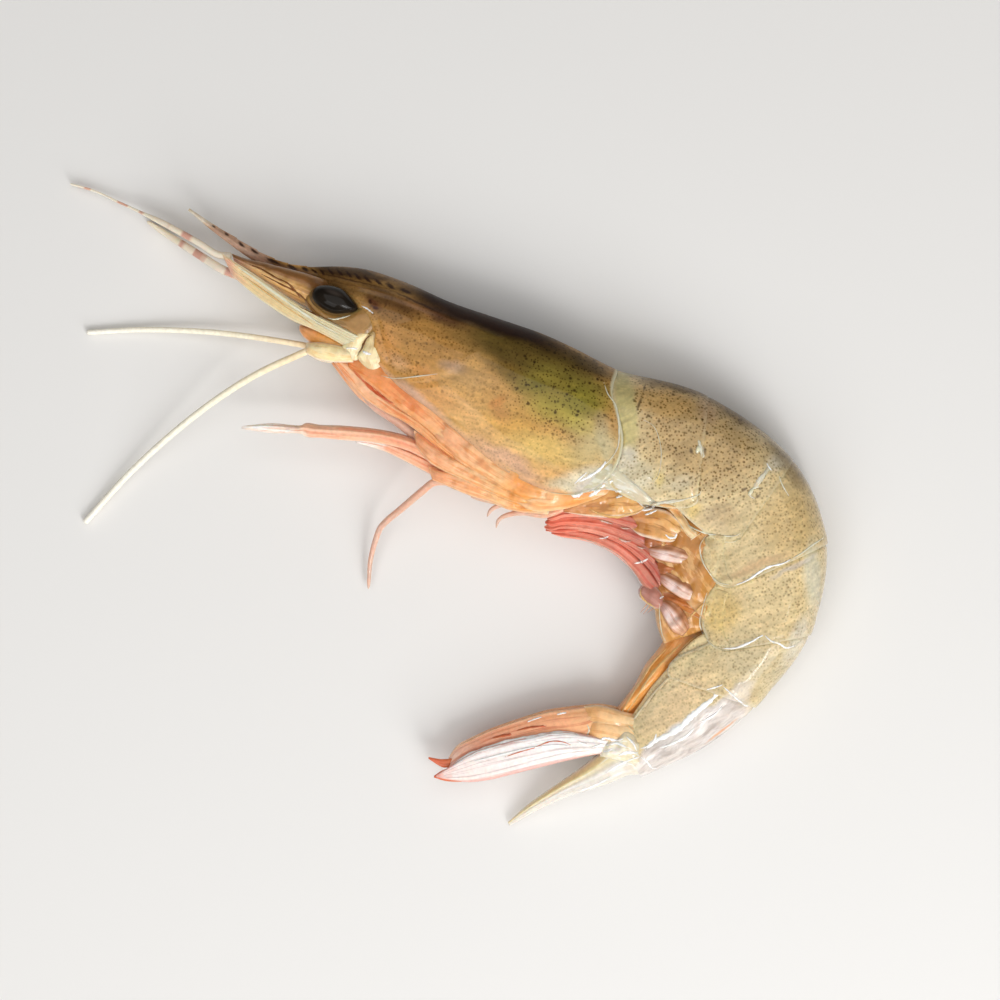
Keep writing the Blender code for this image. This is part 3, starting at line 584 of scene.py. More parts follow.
SEGMENT_MARKS = [
    (27.3, 14.0, 0.31, 1.6, -20, "#3a2814", 0.75, 0.2),
    (28.1, 16.4, 0.23, 1, -20, "#4a3620", 0.6, 0.2),
    (34.7, 7.4, 0.37, 0.71, 8, "#4a3826", 0.8, 0.2),
    (36.6, 7.4, 0.34, 0.79, 8, "#5a4a38", 0.7, 0.2),
    (42.1, 1.9, 0.57, 0.37, 30, "#4a3826", 0.75, 0.2),
    (44.1, 0.9, 0.49, 0.34, 20, "#4c3c2c", 0.75, 0.2),
    (44.4, 2.0, 0.31, 0.31, 0, "#54483a", 0.6, 0.2),
    (23.7, 6.7, 0.26, 0.26, 0, "#4a3a2c", 0.8, 0.2),
    (39.3, -32.6, 3.7, 0.29, 38, "#e0a070", 0.8, 0.3),
    (36.1, -35.6, 7.1, 0.23, 36, "#8c7c70", 0.6, 0.3),
]
SEGMENT_DOTS = [
    (34.7, 9.0, 16, 11, -25, 0.9, 1.0, 0.6),
    (49.0, -8.1, 8.6, 13, 0, 0.6, 1.0, 0.5),
    (39.0, -22.4, 11, 8.6, -30, 0.5, 1.0, 0.5),
    (25.0, 13.3, 2, 8.9, 3, 0.05, 1.0, 0.7),
    (52.1, -10.3, 2, 6.3, 5, 0.15, 1.0, 0.5),
    (44.0, -8.9, 6.3, 1.1, 22, 0.1, 1.0, 0.4),
    # no dots under plate 6's painted glare
    (35.4, -34.1, 11, 3.9, 33, 0.0, 1.0, 0.7),
]
SEGMENT_DRY = [(36.1, 14.7, 16, 2, -25, 0.3, 1.0, 0.4)]
# Painted highlights: the broad glare on plate 6, a glint where plates 5 and 6 meet, and a sheen on the back
# of plates 3 and 4.
SEGMENT_PAINTED_GLARE = [(34.1, -34.1, 11, 3.1, 34, 0.9, 1.0, 0.7),
                 (41.1, -28.1, 4.9, 1.7, 42, 0.5, 1.0, 0.5),
                 (49.3, -9.0, 4.9, 0.57, 25, 0.6, 1.0, 0.3)]
SEGMENT = chitin_finish(
    "abdomen_chitin", "#d6c093", SEGMENT_OVALS, SEGMENT_MARKS,
    [(0.47, 0.155, "#a09374"), (1.15, 0.22, "#958a6e")], SEGMENT_DOTS, SEGMENT_DRY,
    rim_colour="#dcd2b6", hem_colour="#e0a868", painted_glare_ovals=SEGMENT_PAINTED_GLARE, glare_turn=38,
    grain_turn=25)
print("abdomen ovals:", len(SEGMENT_OVALS))

# %% [markdown]
# Legs, swimmerets and leaves are thin skin over muscle: long streaks run from root to tip, the
# colour changes on the way, and the thin rim has its own tone. One function makes them all.

# %% Fibrous finish for the legs, swimmerets and tail
def fibre_finish(name, stops, streak, rim, across=2.2, along=0.22, upper=None, **surface):
    """Colour stops from root to tip, long streaks and a rim, as thin wet chitin shows.

    streak and rim are (colour, share). across and along are streaks per strip width and per
    millimetre. upper tints the upper half.
    """
    (streak, streak_share), (rim, rim_share) = streak, rim
    finish, tree, shader = new_finish(name)
    plain, _ = places(tree)
    share, side, run = (add_node(tree, "Attribute", attribute_name=word).outputs["Fac"]
                        for word in ("share", "across", "run"))
    lay = add_node(tree, "CombineXYZ", {0: run, 1: side}).outputs["Vector"]
    lay = add_node(tree, "VectorMath", {0: lay, 1: (along, across, 1.0)},
                   operation="MULTIPLY").outputs["Vector"]
    fibres = add_node(tree, "TexNoise", {"Vector": lay, "Scale": 1.0, "Detail": 3.0,
                                         "Roughness": 0.6}).outputs["Fac"]
    cloud = add_node(tree, "TexNoise", {"Vector": plain, "Scale": 0.5, "Detail": 3.0})
    moved = add_node(tree, "Math", {0: cloud.outputs["Fac"], 1: 0.3, 2: share},
                     operation="MULTIPLY_ADD").outputs["Value"]
    moved = add_node(tree, "Math", {0: moved, 1: 0.15}, operation="SUBTRACT")
    ladder = add_node(tree, "ValToRGB", {"Fac": moved.outputs["Value"]})
    colour = set_stops(ladder, stops)
    layers = []
    if upper:
        half = add_node(tree, "MapRange", {"Value": side, "From Min": -0.1,
                                           "From Max": 0.5},
                        interpolation_type="SMOOTHSTEP").outputs["Result"]
        layers.append((half, upper))
    line = add_node(tree, "MapRange", {"Value": fibres, "From Min": 0.5, "From Max": 0.6,
                                       "To Max": streak_share},
                    interpolation_type="SMOOTHSTEP").outputs["Result"]
    edge = add_node(tree, "Math", {0: side}, operation="ABSOLUTE").outputs["Value"]
    edge = add_node(tree, "MapRange", {"Value": edge, "From Min": 0.72, "From Max": 0.98,
                                       "To Max": rim_share},
                    interpolation_type="SMOOTHSTEP").outputs["Result"]
    for mask, code in (*layers, (line, streak), (edge, rim)):
        colour = add_node(tree, "Mix", {0: mask, 6: colour, 7: tint(code)},
                          data_type="RGBA").outputs[2]
    colour = mottle(tree, colour, plain, 0.6, 0.08)
    tree.links.new(colour, shader.inputs["Base Color"])
    wet(shader, **surface)
    ripple(tree, shader, plain, 0.9, 0.04)
    return finish


# %% [markdown]
# The belly is thin skin over orange muscle. Deep amber folds and pale ridges look soft and wet.

# %% Belly finishes: amber skin
BELLY = fibre_finish(
    "belly_membrane", [(0, "#b98048"), (0.6, "#c98a48"), (0.75, "#e09448"), (1, "#e89c50")],
    ("#f0b878", 0.6), ("#eab880", 0.5), across=3.5, along=0.1, roughness=0.35)
FOLD = fibre_finish(
    "belly_fold_membrane", [(0, "#c48c4c"), (0.5, "#b57636"), (1, "#cc8c54")], ("#e4b478", 0.7),
    ("#dcb488", 0.7), across=3.5, along=0.25, roughness=0.22, coat=1.0)

# %% [markdown]
# The legs are clear tubes whose orange flesh thins out to the tip, so they go to pink and white,
# and more light passes through them. The bases are bare muscle with strong streaks.

# %% Leg finishes: orange to pink to white
JAW_LEG = fibre_finish(
    "jaw_leg_chitin", [(0, "#f4a868"), (0.4, "#f6b27c"), (1, "#fac6a0")], ("#e8823e", 0.7),
    ("#fcd2b0", 0.6), across=2.6, along=0.12, roughness=0.3, coat=0.8, through=0.45)
JAW_ORANGE = fibre_finish(
    "jaw_leg_orange_chitin", [(0, "#f8c594"), (0.35, "#f6b27a"), (0.7, "#ee9a5c"), (1, "#f0a26c")],
    ("#e07838", 0.6), ("#f8c090", 0.6), along=0.12, roughness=0.3, coat=0.8, through=0.45)
LEG = fibre_finish(
    "leg_chitin",
    [(0, "#f3a274"), (0.4, "#f8ba94"), (0.72, "#fac6a6"), (0.8, "#f8ede0"), (1, "#fbf6ee")],
    ("#ee9472", 0.5), ("#fcd6be", 0.6), along=0.12, roughness=0.3, coat=0.8, through=0.45)
THIN_LEG = fibre_finish(
    "thin_leg_chitin", [(0, "#f0ae8a"), (0.4, "#deb49c"), (1, "#d6b4a2")], ("#e2a284", 0.4),
    ("#f4d6c4", 0.4), roughness=0.3, coat=0.8, through=0.45)
LEG_BASE = fibre_finish(
    "leg_base_flesh",
    [(0, "#f6dcb4"), (0.1, "#f2b070"), (0.26, "#f0a258"), (0.42, "#f6c48e"), (1, "#f4ac80")],
    ("#e08a46", 0.5), ("#f9cc9c", 0.5), across=3.4, along=0.12, roughness=0.35, coat=0.8, through=0.5)

# %% [markdown]
# Swimmerets have clear lobes with brown streaks, and red blades of which every other one is
# deeper, so that the bundle can be read. The flaps between are brown and mauve.

# %% Swimmeret finishes: clear lobes and red blades
SWIM_LOBE = fibre_finish(
    "swimmeret_skin", [(0, "#e8bf8c"), (0.3, "#e2ac68"), (0.7, "#d29250"), (1, "#cf9066")],
    ("#a86a30", 0.7), ("#f6e2cc", 0.9), across=2.4, along=0.2, roughness=0.15, coat=1.0)
SWIM_WHITE = fibre_finish(
    "swimmeret_clear_skin", [(0, "#c8905e"), (0.25, "#e6c4b0"), (0.6, "#ecd4cc"), (1, "#b87460")],
    ("#c48c72", 0.75), ("#c08458", 0.95), across=2.4, along=0.2, upper="#b47c56", roughness=0.12, coat=1.0)
SWIM_BLADE = fibre_finish(
    "swimmeret_blade_skin", [(0, "#b87866"), (0.3, "#dc8a74"), (0.7, "#f4a088"), (1, "#f08a70")],
    ("#d05c48", 0.6), ("#f4b09a", 0.6), across=2.0, along=0.08)
SWIM_DEEP = fibre_finish(
    "swimmeret_deep_skin", [(0, "#b07266"), (0.3, "#d67e6a"), (0.7, "#ec846a"), (1, "#ec7860")],
    ("#c25240", 0.6), ("#f4ac96", 0.6), across=2.0, along=0.08)
FLAP = fibre_finish(
    "swimmeret_flap_skin", [(0, "#b87c44"), (0.5, "#c0783e"), (1, "#b46c48")], ("#8a4c24", 0.5),
    ("#e8b48c", 0.8), across=2.4, roughness=0.2, coat=1.0)
MAUVE = fibre_finish(
    "clear_mauve_skin", [(0, "#bc8270"), (1, "#b0786a")], ("#cc9a8c", 0.4), ("#ecd0c2", 0.8),
    across=1.5, roughness=0.2, coat=1.0)

# %% [markdown]
# The tail's leaves have long ribs, shown as fine streaks: the outer orange, the inner almost
# white with a red tip, the spike grey with a yellow back. Skin between plates turns milky.

# %% Tail finishes, milky skin and strands
OUTER_LEAF = fibre_finish(
    "outer_leaf_chitin", [(0, "#f2be88"), (0.35, "#fab484"), (0.7, "#eaa07c"), (1, "#f6ccb8")],
    ("#d2744a", 0.6), ("#f8cba4", 0.7), across=2.8, along=0.06)
INNER_LEAF = fibre_finish(
    "inner_leaf_chitin",
    [(0, "#f2ece4"), (0.3, "#f8f2ee"), (0.86, "#f4e2dc"), (0.95, "#eea698"), (1, "#e06e5c")],
    ("#c4b2ae", 0.7), ("#ecb0a4", 0.8), across=4.5, along=0.05, roughness=0.15, coat=1.0)
TAIL_STEM = fibre_finish(
    "tail_stem_chitin", [(0, "#ecd0a4"), (0.5, "#f2c690"), (1, "#f0b478")], ("#dc9a58", 0.5),
    ("#f6dcb8", 0.8), across=2.0, along=0.12)
TELSON = fibre_finish(
    "telson_chitin", [(0, "#dfd5c4"), (0.5, "#ddd6cd"), (1, "#e4dccc")], ("#ece8e2", 0.6),
    ("#f0e6d0", 0.5), across=3.0, along=0.06, upper="#ead6a2", roughness=0.2, coat=1.0)
JOINT_SKIN = fibre_finish(
    "joint_skin", [(0, "#dccba8"), (0.4, "#ead9b6"), (1, "#f0e6cc")], ("#f8f4ec", 0.7),
    ("#f2e6c8", 0.6), across=2.6, along=0.3, roughness=0.15, coat=1.0)
MILKY = fibre_finish(
    "milky_skin", [(0, "#cabf9c"), (0.5, "#d4c8b0"), (1, "#dac4a0")], ("#ebe4d8", 0.6),
    ("#dcd4c8", 0.5), across=2.6, along=0.25, roughness=0.12, coat=1.0)
STRAND = fibre_finish(
    "amber_strand", [(0, "#e2a860"), (1, "#e6b478")], ("#f0c890", 0.5), ("#d89850", 0.5), across=2.0,
    coat=1.0)

# %% [markdown]
# The head's small pieces are the same chitin over different flesh, so their tones are close.

# %% Head finishes: gold, straw, cream and olive
STEM = fibre_finish(
    "antennule_chitin", [(0, "#94683a"), (0.3, "#dcaa64"), (0.7, "#f0c688"), (1, "#e8bca4")],
    ("#885a30", 0.6), ("#c89c68", 0.4), across=3.2, along=0.08, upper="#8c6034", roughness=0.3, coat=0.8)
SCALE = fibre_finish(
    "scale_chitin", [(0, "#d8cfae"), (0.5, "#e4cb98"), (0.85, "#e8ca98"), (1, "#dca48c")],
    ("#c4bc94", 0.6), ("#f2dfb8", 0.8), across=4.5, along=0.04)
CHEEK = fibre_finish(
    "cheek_chitin", [(0, "#d8b478"), (0.5, "#f2deac"), (1, "#f6e8c4")], ("#d4b078", 0.5),
    ("#e4cda0", 0.5), across=1.5, coat=1.0)
SOCKET = fibre_finish(
    "eye_socket_skin", [(0, "#a87e44"), (0.5, "#a27840"), (1, "#b08650")], ("#7c602c", 0.6),
    ("#b09a5c", 0.6), across=1.5, roughness=0.3)
MOUTH = fibre_finish(
    "mouth_orange_skin", [(0, "#f0b488"), (0.4, "#e09a50"), (1, "#ecb870")], ("#d08a44", 0.5),
    ("#f4d0b4", 0.7), across=1.5, roughness=0.3)
ANTENNA_BASE = fibre_finish(
    "antenna_stem_chitin", [(0, "#f8e2b8"), (0.5, "#fce4ac"), (1, "#fce8c0")], ("#f0c47c", 0.5),
    ("#fbe8d0", 0.8), across=1.6)
STALK = fibre_finish(
    "eyestalk_skin", [(0, "#6e5430"), (1, "#5c4526")], ("#463417", 0.5), ("#94793e", 0.5), across=1.5,
    roughness=0.35, coat=0.8)

# %% [markdown]
# Standing water catches the whole sky; its glints are painted as films that are nearly white and very
# smooth. Free edges are cream and rougher. The long feelers are stiff and opaque, so they stay matt.

# %% Finishes for the fine lines and the feelers
# painted glints: a nearly white, smooth film
GLINT_FILM = fibre_finish(
    "painted_glint_film", [(0, "#f6f2ea"), (1, "#faf6f0")], ("#ffffff", 0.5), ("#ece4d6", 0.6), across=2.0,
    roughness=0.08, coat=1.0, through=0.2)
EDGE = fibre_finish(
    "plate_edge_chitin", [(0, "#e2d8b8"), (1, "#e6dcc0")], ("#f0e8d4", 0.5), ("#d8caa4", 0.6),
    across=2.0, roughness=0.2, coat=1.0)
SEAM = fibre_finish(
    "dark_seam", [(0, "#7c4c24"), (1, "#8a5628")], ("#6a3a1a", 0.5), ("#94683a", 0.5), roughness=0.35,
    coat=0.8)
RED_LINE = fibre_finish(
    "orange_line", [(0, "#e07c50"), (1, "#d66c4c")], ("#c05428", 0.5), ("#e08a68", 0.5), roughness=0.3)
ANTENNA = fibre_finish(
    "antenna_chitin", [(0, "#fae2b8"), (0.35, "#fff6dc"), (1, "#fffaec")], ("#fff2d8", 0.2),
    ("#fff8e4", 0.2), across=2.0, roughness=0.35, coat=0.3, through=0.0)

# %% [markdown]
# The eye is black pigment under a clear cornea, so it is dark and smooth. The short whips are
# ringed in pink and cream at uneven distances, by a noise along their length.

# %% Eye: black pigment under a glassy cornea
def eye_finish():
    """Black with a faint haze, and one dull reflection painted along the bead."""
    finish, tree, shader = new_finish("eye_cornea")
    plain, _ = places(tree)
    haze = add_node(tree, "TexNoise", {"Vector": plain, "Scale": 0.35, "Detail": 2.0})
    colour = add_node(tree, "Mix", {0: haze.outputs["Fac"], 6: tint("#0c0a08"),
                                    7: tint("#2a221a")}, data_type="RGBA").outputs[2]
    # painted reflection: a grey streak along the bead
    colour = paint(tree, colour, plain, [(-16.0, 29.9, 2, 0.57, -22, "#4a403a", 0.7, 0.1)])
    tree.links.new(colour, shader.inputs["Base Color"])
    wet(shader, roughness=0.3, coat=0.5, coat_roughness=0.05, through=0.0)
    shader.inputs["Specular IOR Level"].default_value = 0.05
    return finish


EYE = eye_finish()


# %% Banded whip: pink, brown and cream rings
def whip_finish():
    """Rings about 3 mm long along the whip's run."""
    finish, tree, shader = new_finish("whip_chitin")
    run = add_node(tree, "Attribute", attribute_name="run").outputs["Fac"]
    bands = add_node(tree, "TexNoise", {"W": run, "Scale": 0.35, "Detail": 1.0},
                     noise_dimensions="1D")
    ladder = add_node(tree, "ValToRGB", {"Fac": bands.outputs["Fac"]})
    rings = set_stops(ladder, [(0.36, "#d2a390"), (0.46, "#f0e2cc")])
    tree.links.new(rings, shader.inputs["Base Color"])
    wet(shader, roughness=0.35, coat=0.5)
    return finish


WHIP = whip_finish()
print("finishes:", len(bpy.data.materials))

# %% [markdown]
# ## The head's measures
#
# The head is measured along its own tilted axis: u runs forward from the back edge of the carapace
# and v runs up across it. q counts the height of a point from the lower edge, -1, to the back, 1.

# %% The head's axis and profile
HEAD_REAR = np.array((24.4, 18.9))
HEAD_TILT = math.radians(22.3)
FORWARD = np.array((-math.cos(HEAD_TILT), math.sin(HEAD_TILT)))
UPWARD = np.array((math.sin(HEAD_TILT), math.cos(HEAD_TILT)))
HEAD_HEIGHT, HEAD_REST, HEAD_DROOP = 7.45, 8.0, 0.03
carapace_back = curve([(-6, 0.6), (0, 0.1), (7, 0.6), (12, 0.8), (19, 0.4), (26, 0.0), (32, 0.2),
                       (38, -0.1), (42, -1.1), (47, -3.2)])
carapace_edge = curve([(-6, -19.2), (4.6, -19.8), (10.3, -19.2), (16.4, -17.4), (22.3, -15.5),
                       (27.8, -14.1), (32, -12.4), (38, -11.0), (47, -10.5)])
carapace_half = curve([(-6, 6.9), (0, 7.3), (8, 7.7), (20, 7.3), (30, 6.1), (38, 4.7), (42, 3.1),
                       (47, 0.7)])
rear_margin = curve([(-1, 2.0), (-0.93, -0.8), (-0.68, -3.7), (-0.32, -4.9), (0.03, -4.4),
                     (0.35, -2.6), (0.7, -0.3), (1, 0.0)])
front_margin = curve([(-1, 30.8), (-0.9, 32.8), (-0.6, 33.6), (-0.3, 34.2), (-0.05, 36.4),
                      (0.08, 37.4), (0.25, 39.6), (0.45, 42.4), (0.7, 44.4), (1, 46.6)])


def head_height(u):
    """Height of the head's midplane above the surface."""
    return HEAD_HEIGHT - HEAD_DROOP * (u - HEAD_REST)


def height_at(places_xy):
    """Height of the head's midplane at places in the page."""
    return head_height((np.asarray(places_xy) - HEAD_REAR) @ FORWARD)


def head_place(u, q):
    """The page place at u along the head and height q."""
    back, edge = carapace_back(u), carapace_edge(u)
    v = (back + edge) / 2 + q * (back - edge) / 2
    return HEAD_REAR + np.asarray(u)[..., None] * FORWARD + v[..., None] * UPWARD


# %% [markdown]
# ## A shell section
#
# Each plate of the shell is a horseshoe in section: round over the back, drawn in a little down
# each flank, and open underneath where the soft belly and the legs sit. The walk round one section
# goes up the near flank, over the back, down the far flank and home again along the inside.

# %% The walk round a horseshoe
def shell_walk(low, high):
    """Rise up the flank, turn over the back, side and inside, for each point of a section.

    low and high count the points on the flank and on to the middle of the back.
    """
    rise = np.r_[np.arange(low) / low, np.ones(high + 1)]
    turn = np.r_[np.zeros(low), np.linspace(0.0, np.pi / 2, high + 1)]
    near = np.stack([rise, turn, np.ones(low + high + 1)], 1)
    outer = np.r_[near, near[-2::-1] * (1, 1, -1)]
    outer = np.c_[outer, np.zeros(len(outer))]
    inner = outer[::-1] + (0, 0, 0, 1)
    return np.r_[outer, inner].T


def girth(q, widest, incurve):
    """Half-width of a section at height q, as a share of its widest."""
    over = np.sqrt(np.clip(1 - ((q - widest) / (1 - widest)) ** 2, 0.0, 1.0))
    under = 1 - incurve * ((widest - q) / (1 + widest)) ** 2
    return np.where(q > widest, over, under)


def shell_section(walk, edge, roof, widest, incurve, thick):
    """Heights q and widths (share, inset, spread) for every point of every section.

    edge, roof and widest are heights q of the free edge, of the inside's roof and of the widest
    place. incurve draws the flank in below that, and thick is the shell's thickness.
    """
    rise, turn, side, inside = walk
    flank = rise < 1
    outer_q = np.where(flank, edge + (widest - edge) * rise, widest + (1 - widest) * np.sin(turn))
    inner_q = np.where(flank, edge + (roof - edge) * rise, roof + 0.06 * np.sin(turn))
    q = np.where(inside > 0, inner_q, outer_q)
    share = np.where((inside > 0) & ~flank, girth(roof, widest, incurve), girth(q, widest, incurve))
    inset = np.where(inside > 0, thick * (1 + 0.6 * rise), 0.0)
    spread = side * np.where((inside > 0) & ~flank, np.cos(turn), 1.0)
    return q, share, inset, spread


# %% [markdown]
# ## Carapace
#
# The carapace is one big plate over head and chest. On the real one a groove runs back from the
# cheek, a low keel continues the rostrum, and the free margins end in a thin bright lip. All of
# that is real relief here, a tenth or two of a millimetre high, because it is what catches light.

# %% Carapace relief and mesh
# Each line is its points in the page, its height in millimetres (below 0 a groove) and its width.
CARAPACE_LINES = [
    ([(-9.6, 18.6), (-7, 17.7), (-3.1, 18), (0.7, 19), (4.4, 21.6)], 0.10, 0.3),
    ([(-9, 17.9), (-6.7, 17), (-2.7, 17.1), (1.3, 18.1)], -0.14, 0.5),
    ([(-7.9, 25.9), (-1, 25), (6.1, 22.4), (13.3, 19.3)], -0.10, 0.8),
    ([(-26.4, 34.1), (-21, 32.3), (-14.6, 31.4), (-7.9, 29.6), (0.4, 26.4), (7.6, 23.3)], 0.2, 0.4),
    ([(-21, 31.7), (-14.6, 30.7), (-7.9, 28.7), (0.4, 25.3)], -0.16, 0.5),
    ([(-6.7, 16.4), (-1.6, 11.9), (3.3, 7.3), (10.4, 3.6)], -0.10, 0.7),
    ([(-9.9, 25.9), (-9, 22.6), (-8.1, 20.1)], -0.18, 0.5),
]
EDGE_LIP = 0.12


def carapace_relief(u, q, place):
    """Grooves, ridges and lips over the outside in millimetres, and nearness to rim and hem."""
    relief = np.zeros(u.shape)
    for points, height, width in CARAPACE_LINES:
        relief += height * bell(line_distance(place[..., 0], place[..., 1], points), width)
    behind = u - rear_margin(q)
    relief += EDGE_LIP * bell(behind, 0.3) - 0.10 * bell(behind - 0.9, 0.4)
    above = (q + 1) / 2 * (carapace_back(u) - carapace_edge(u))
    relief += 0.08 * bell(above - 0.1, 0.3) - 0.06 * bell(above - 0.8, 0.4)
    return relief, ramp((0.55 - behind) / 0.3), 0.75 * ramp((0.9 - above) / 0.9)


def make_carapace():
    """The plate over head and chest, from its front margin, t = 0, to its back edge, t = 1."""
    rows = 160
    t = np.linspace(0.0, 1.0, rows)[:, None]
    walk = shell_walk(low=26, high=46)
    q, share, inset, spread = shell_section(walk, edge=-1.0, roof=-0.86, widest=-0.12, incurve=0.3,
                                            thick=0.9)
    q = np.broadcast_to(q, (rows, q.shape[-1]))
    u = (1 - t) * front_margin(q) + t * rear_margin(q)
    place = head_place(u, q)
    outside = 1 - walk[3]
    relief, rim, hem = carapace_relief(u, q, place)
    points = np.concatenate([place, head_height(u)[..., None]], -1)
    relief = (relief + lumps(points, size=5.0, height=0.12)) * outside * ramp(carapace_half(u) / 4)
    reach = (carapace_half(u) * share - np.minimum(inset, 0.7 * carapace_half(u))) * spread
    points[..., 2] += reach + relief * np.sign(spread)
    mesh = skin("carapace_shell", [points], rim=[rim], hem=[hem])
    return add_piece("carapace_shell", mesh, CARAPACE, ["carapace"])


carapace = make_carapace()
print("carapace faces:", len(carapace.data.polygons))

# %% [markdown]
# ## Rostrum
#
# The rostrum is the saw-toothed beak over the eyes. It is a thin blade, thickest along a rib on
# each flank, with low forward-leaning teeth on its upper edge.

# %% Rostrum blade
rostrum_top = curve([(0, (-2.0, 29.4)), (0.5, (-7.2, 31.9)), (1, (-12.4, 33.3)), (2, (-21.0, 33.9)),
                     (3, (-25.6, 35.3)), (4, (-31.7, 38.8)), (5, (-36.9, 42.2))])
rostrum_keel = curve([(0, (-2.6, 27.8)), (1, (-12.6, 31.0)), (2, (-21.0, 32.3)), (3, (-26.4, 33.9)),
                      (4, (-32.4, 38.0)), (5, (-37.1, 41.9))])
rostrum_half = curve([(0, 1.3), (1, 0.95), (2, 0.8), (4, 0.5), (5, 0.15)])
TOOTH_PITCH, TOOTH_HEIGHT = 4.2 / 9, 0.13    # nine teeth in 4.2 keys, and millimetres


def make_rostrum():
    """The blade from its root in the carapace, t = 0, to its point, t = 5."""
    rows = 260
    t = np.linspace(0.0, 5.0, rows)
    top, keel = rostrum_top(t), rostrum_keel(t)
    saw = 1 - (t / TOOTH_PITCH) % 1.0
    tooth = TOOTH_HEIGHT * saw ** 0.8 * ramp(t / 0.6) * ramp((4.4 - t) / 0.6)
    top = top + unit(top - keel) * tooth[:, None]
    half = rostrum_half(t)
    middle = height_at((top + keel) / 2)
    up = np.array((0.0, 0.1, 0.22, 0.36, 0.48, 0.6, 0.72, 0.86, 1.0))
    wide = np.array((0.25, 0.7, 0.95, 0.8, 1.0, 0.72, 0.45, 0.22, 0.06))
    page = keel[:, None] + (top - keel)[:, None] * up[None, :, None]
    height = half[:, None] * wide[None]
    near = np.concatenate([page, (middle[:, None] + height)[..., None]], -1)
    far = np.concatenate([page, (middle[:, None] - height)[..., None]], -1)[:, ::-1]
    mesh = skin("rostrum_blade", [np.concatenate([near, far], 1)])
    return add_piece("rostrum_blade", mesh, CARAPACE)


rostrum = make_rostrum()
print("rostrum faces:", len(rostrum.data.polygons))

# %% [markdown]
# ## Abdomen
#
# Six plates ride over one another like roof tiles, each over the front of the next, so the tail
# can curl. s counts the joints from the carapace, 0, to the telson, 6. Below its joint line each
# plate hangs in a rounded lobe. The plate behind starts well under the rim in front, so no gap
# opens between them.

# %% The abdomen's profile
abdomen_back = curve([(0, (24.7, 19.0)), (1, (37.0, 15.4)), (2, (49.3, 6.4)), (3, (54.3, -5.6)),
                      (4, (52.0, -18.7)), (5, (44.3, -29.1)), (5.5, (36.7, -35.2)),
                      (6, (27.9, -39.2)), (7, (20.0, -42.5))])
pleura_joints = curve([(0, (23.7, 4.4)), (1, (35.4, 0.9)), (2, (41.6, -4.9)), (3, (41.1, -11.7)),
                       (4, (39.9, -20.9)), (5, (32.1, -24.9)), (6, (25.1, -32.9)),
                       (7, (18.0, -37.0))])
PLEURA_LOBES = np.array(((0.6, -2.7), (-2.7, -2.4), (-4.5, -1.2), (-4.8, 0.2), (-2.3, 1.7),
                         (-0.3, 0.3)))
abdomen_half = curve([(0, 7.0), (1, 6.9), (2, 6.7), (3, 6.3), (4, 5.6), (5, 4.7), (6, 3.6),
                      (7, 3.0)])
groove_roof = curve([(0, -0.62), (4, -0.5), (5, -0.6), (6, -0.9), (7, -0.9)])
REST_SINK = 0.25        # how far the soft flank settles on the surface
COVER_GAP = 0.3         # how far the first plate starts under the carapace's rear margin
CARAPACE_COVER = 0.79   # the share of the first plate's height that the carapace covers
HIDDEN_REACH = 9.0      # how far a plate's hidden front reaches forward, for one joint


def abdomen_height(s):
    """Height of the abdomen's midplane above the surface."""
    return abdomen_half(s) - REST_SINK + 0.45 * ramp(1 - np.asarray(s, float))


def abdomen_place(s, q):
    """The page place at joint count s and height q."""
    back, joint = abdomen_back(s), pleura_joints(s)
    place = joint + (back - joint) * ((q + 1) / 2)[..., None]
    beside = 1 - (1 - q) * CARAPACE_COVER
    margin = head_place(rear_margin(beside) - COVER_GAP, beside)
    first = (pleura_joints(0) * ((1 - q) / 2)[..., None] + abdomen_back(0) * ((1 + q) / 2)[..., None])
    ahead = np.clip(1 - s, 0.0, 2.0)[..., None]
    hidden = FORWARD * HIDDEN_REACH * np.maximum(ahead - 1, 0)
    return place + (margin - first) * np.minimum(ahead, 1.0) + hidden


# %% Abdomen plates
FLANGES = (0.13, 0.3, 0.3, 0.3, 0.3, 0.2)        # each plate's hidden front, a share of its length
TUCK = (0.5, 0.26, 0.28, 0.45, 0.45, 0.4)        # how far it dips under the plate before, in mm
RIM_STEP = (0.04, 0.04, 0.18, 0.22, 0.2, 0.14)   # how far its rear rim stands out, in mm
RIM_PALE = (0.15, 0.2, 0.45, 0.5, 0.4, 0.3)      # how pale that rim is, as a share


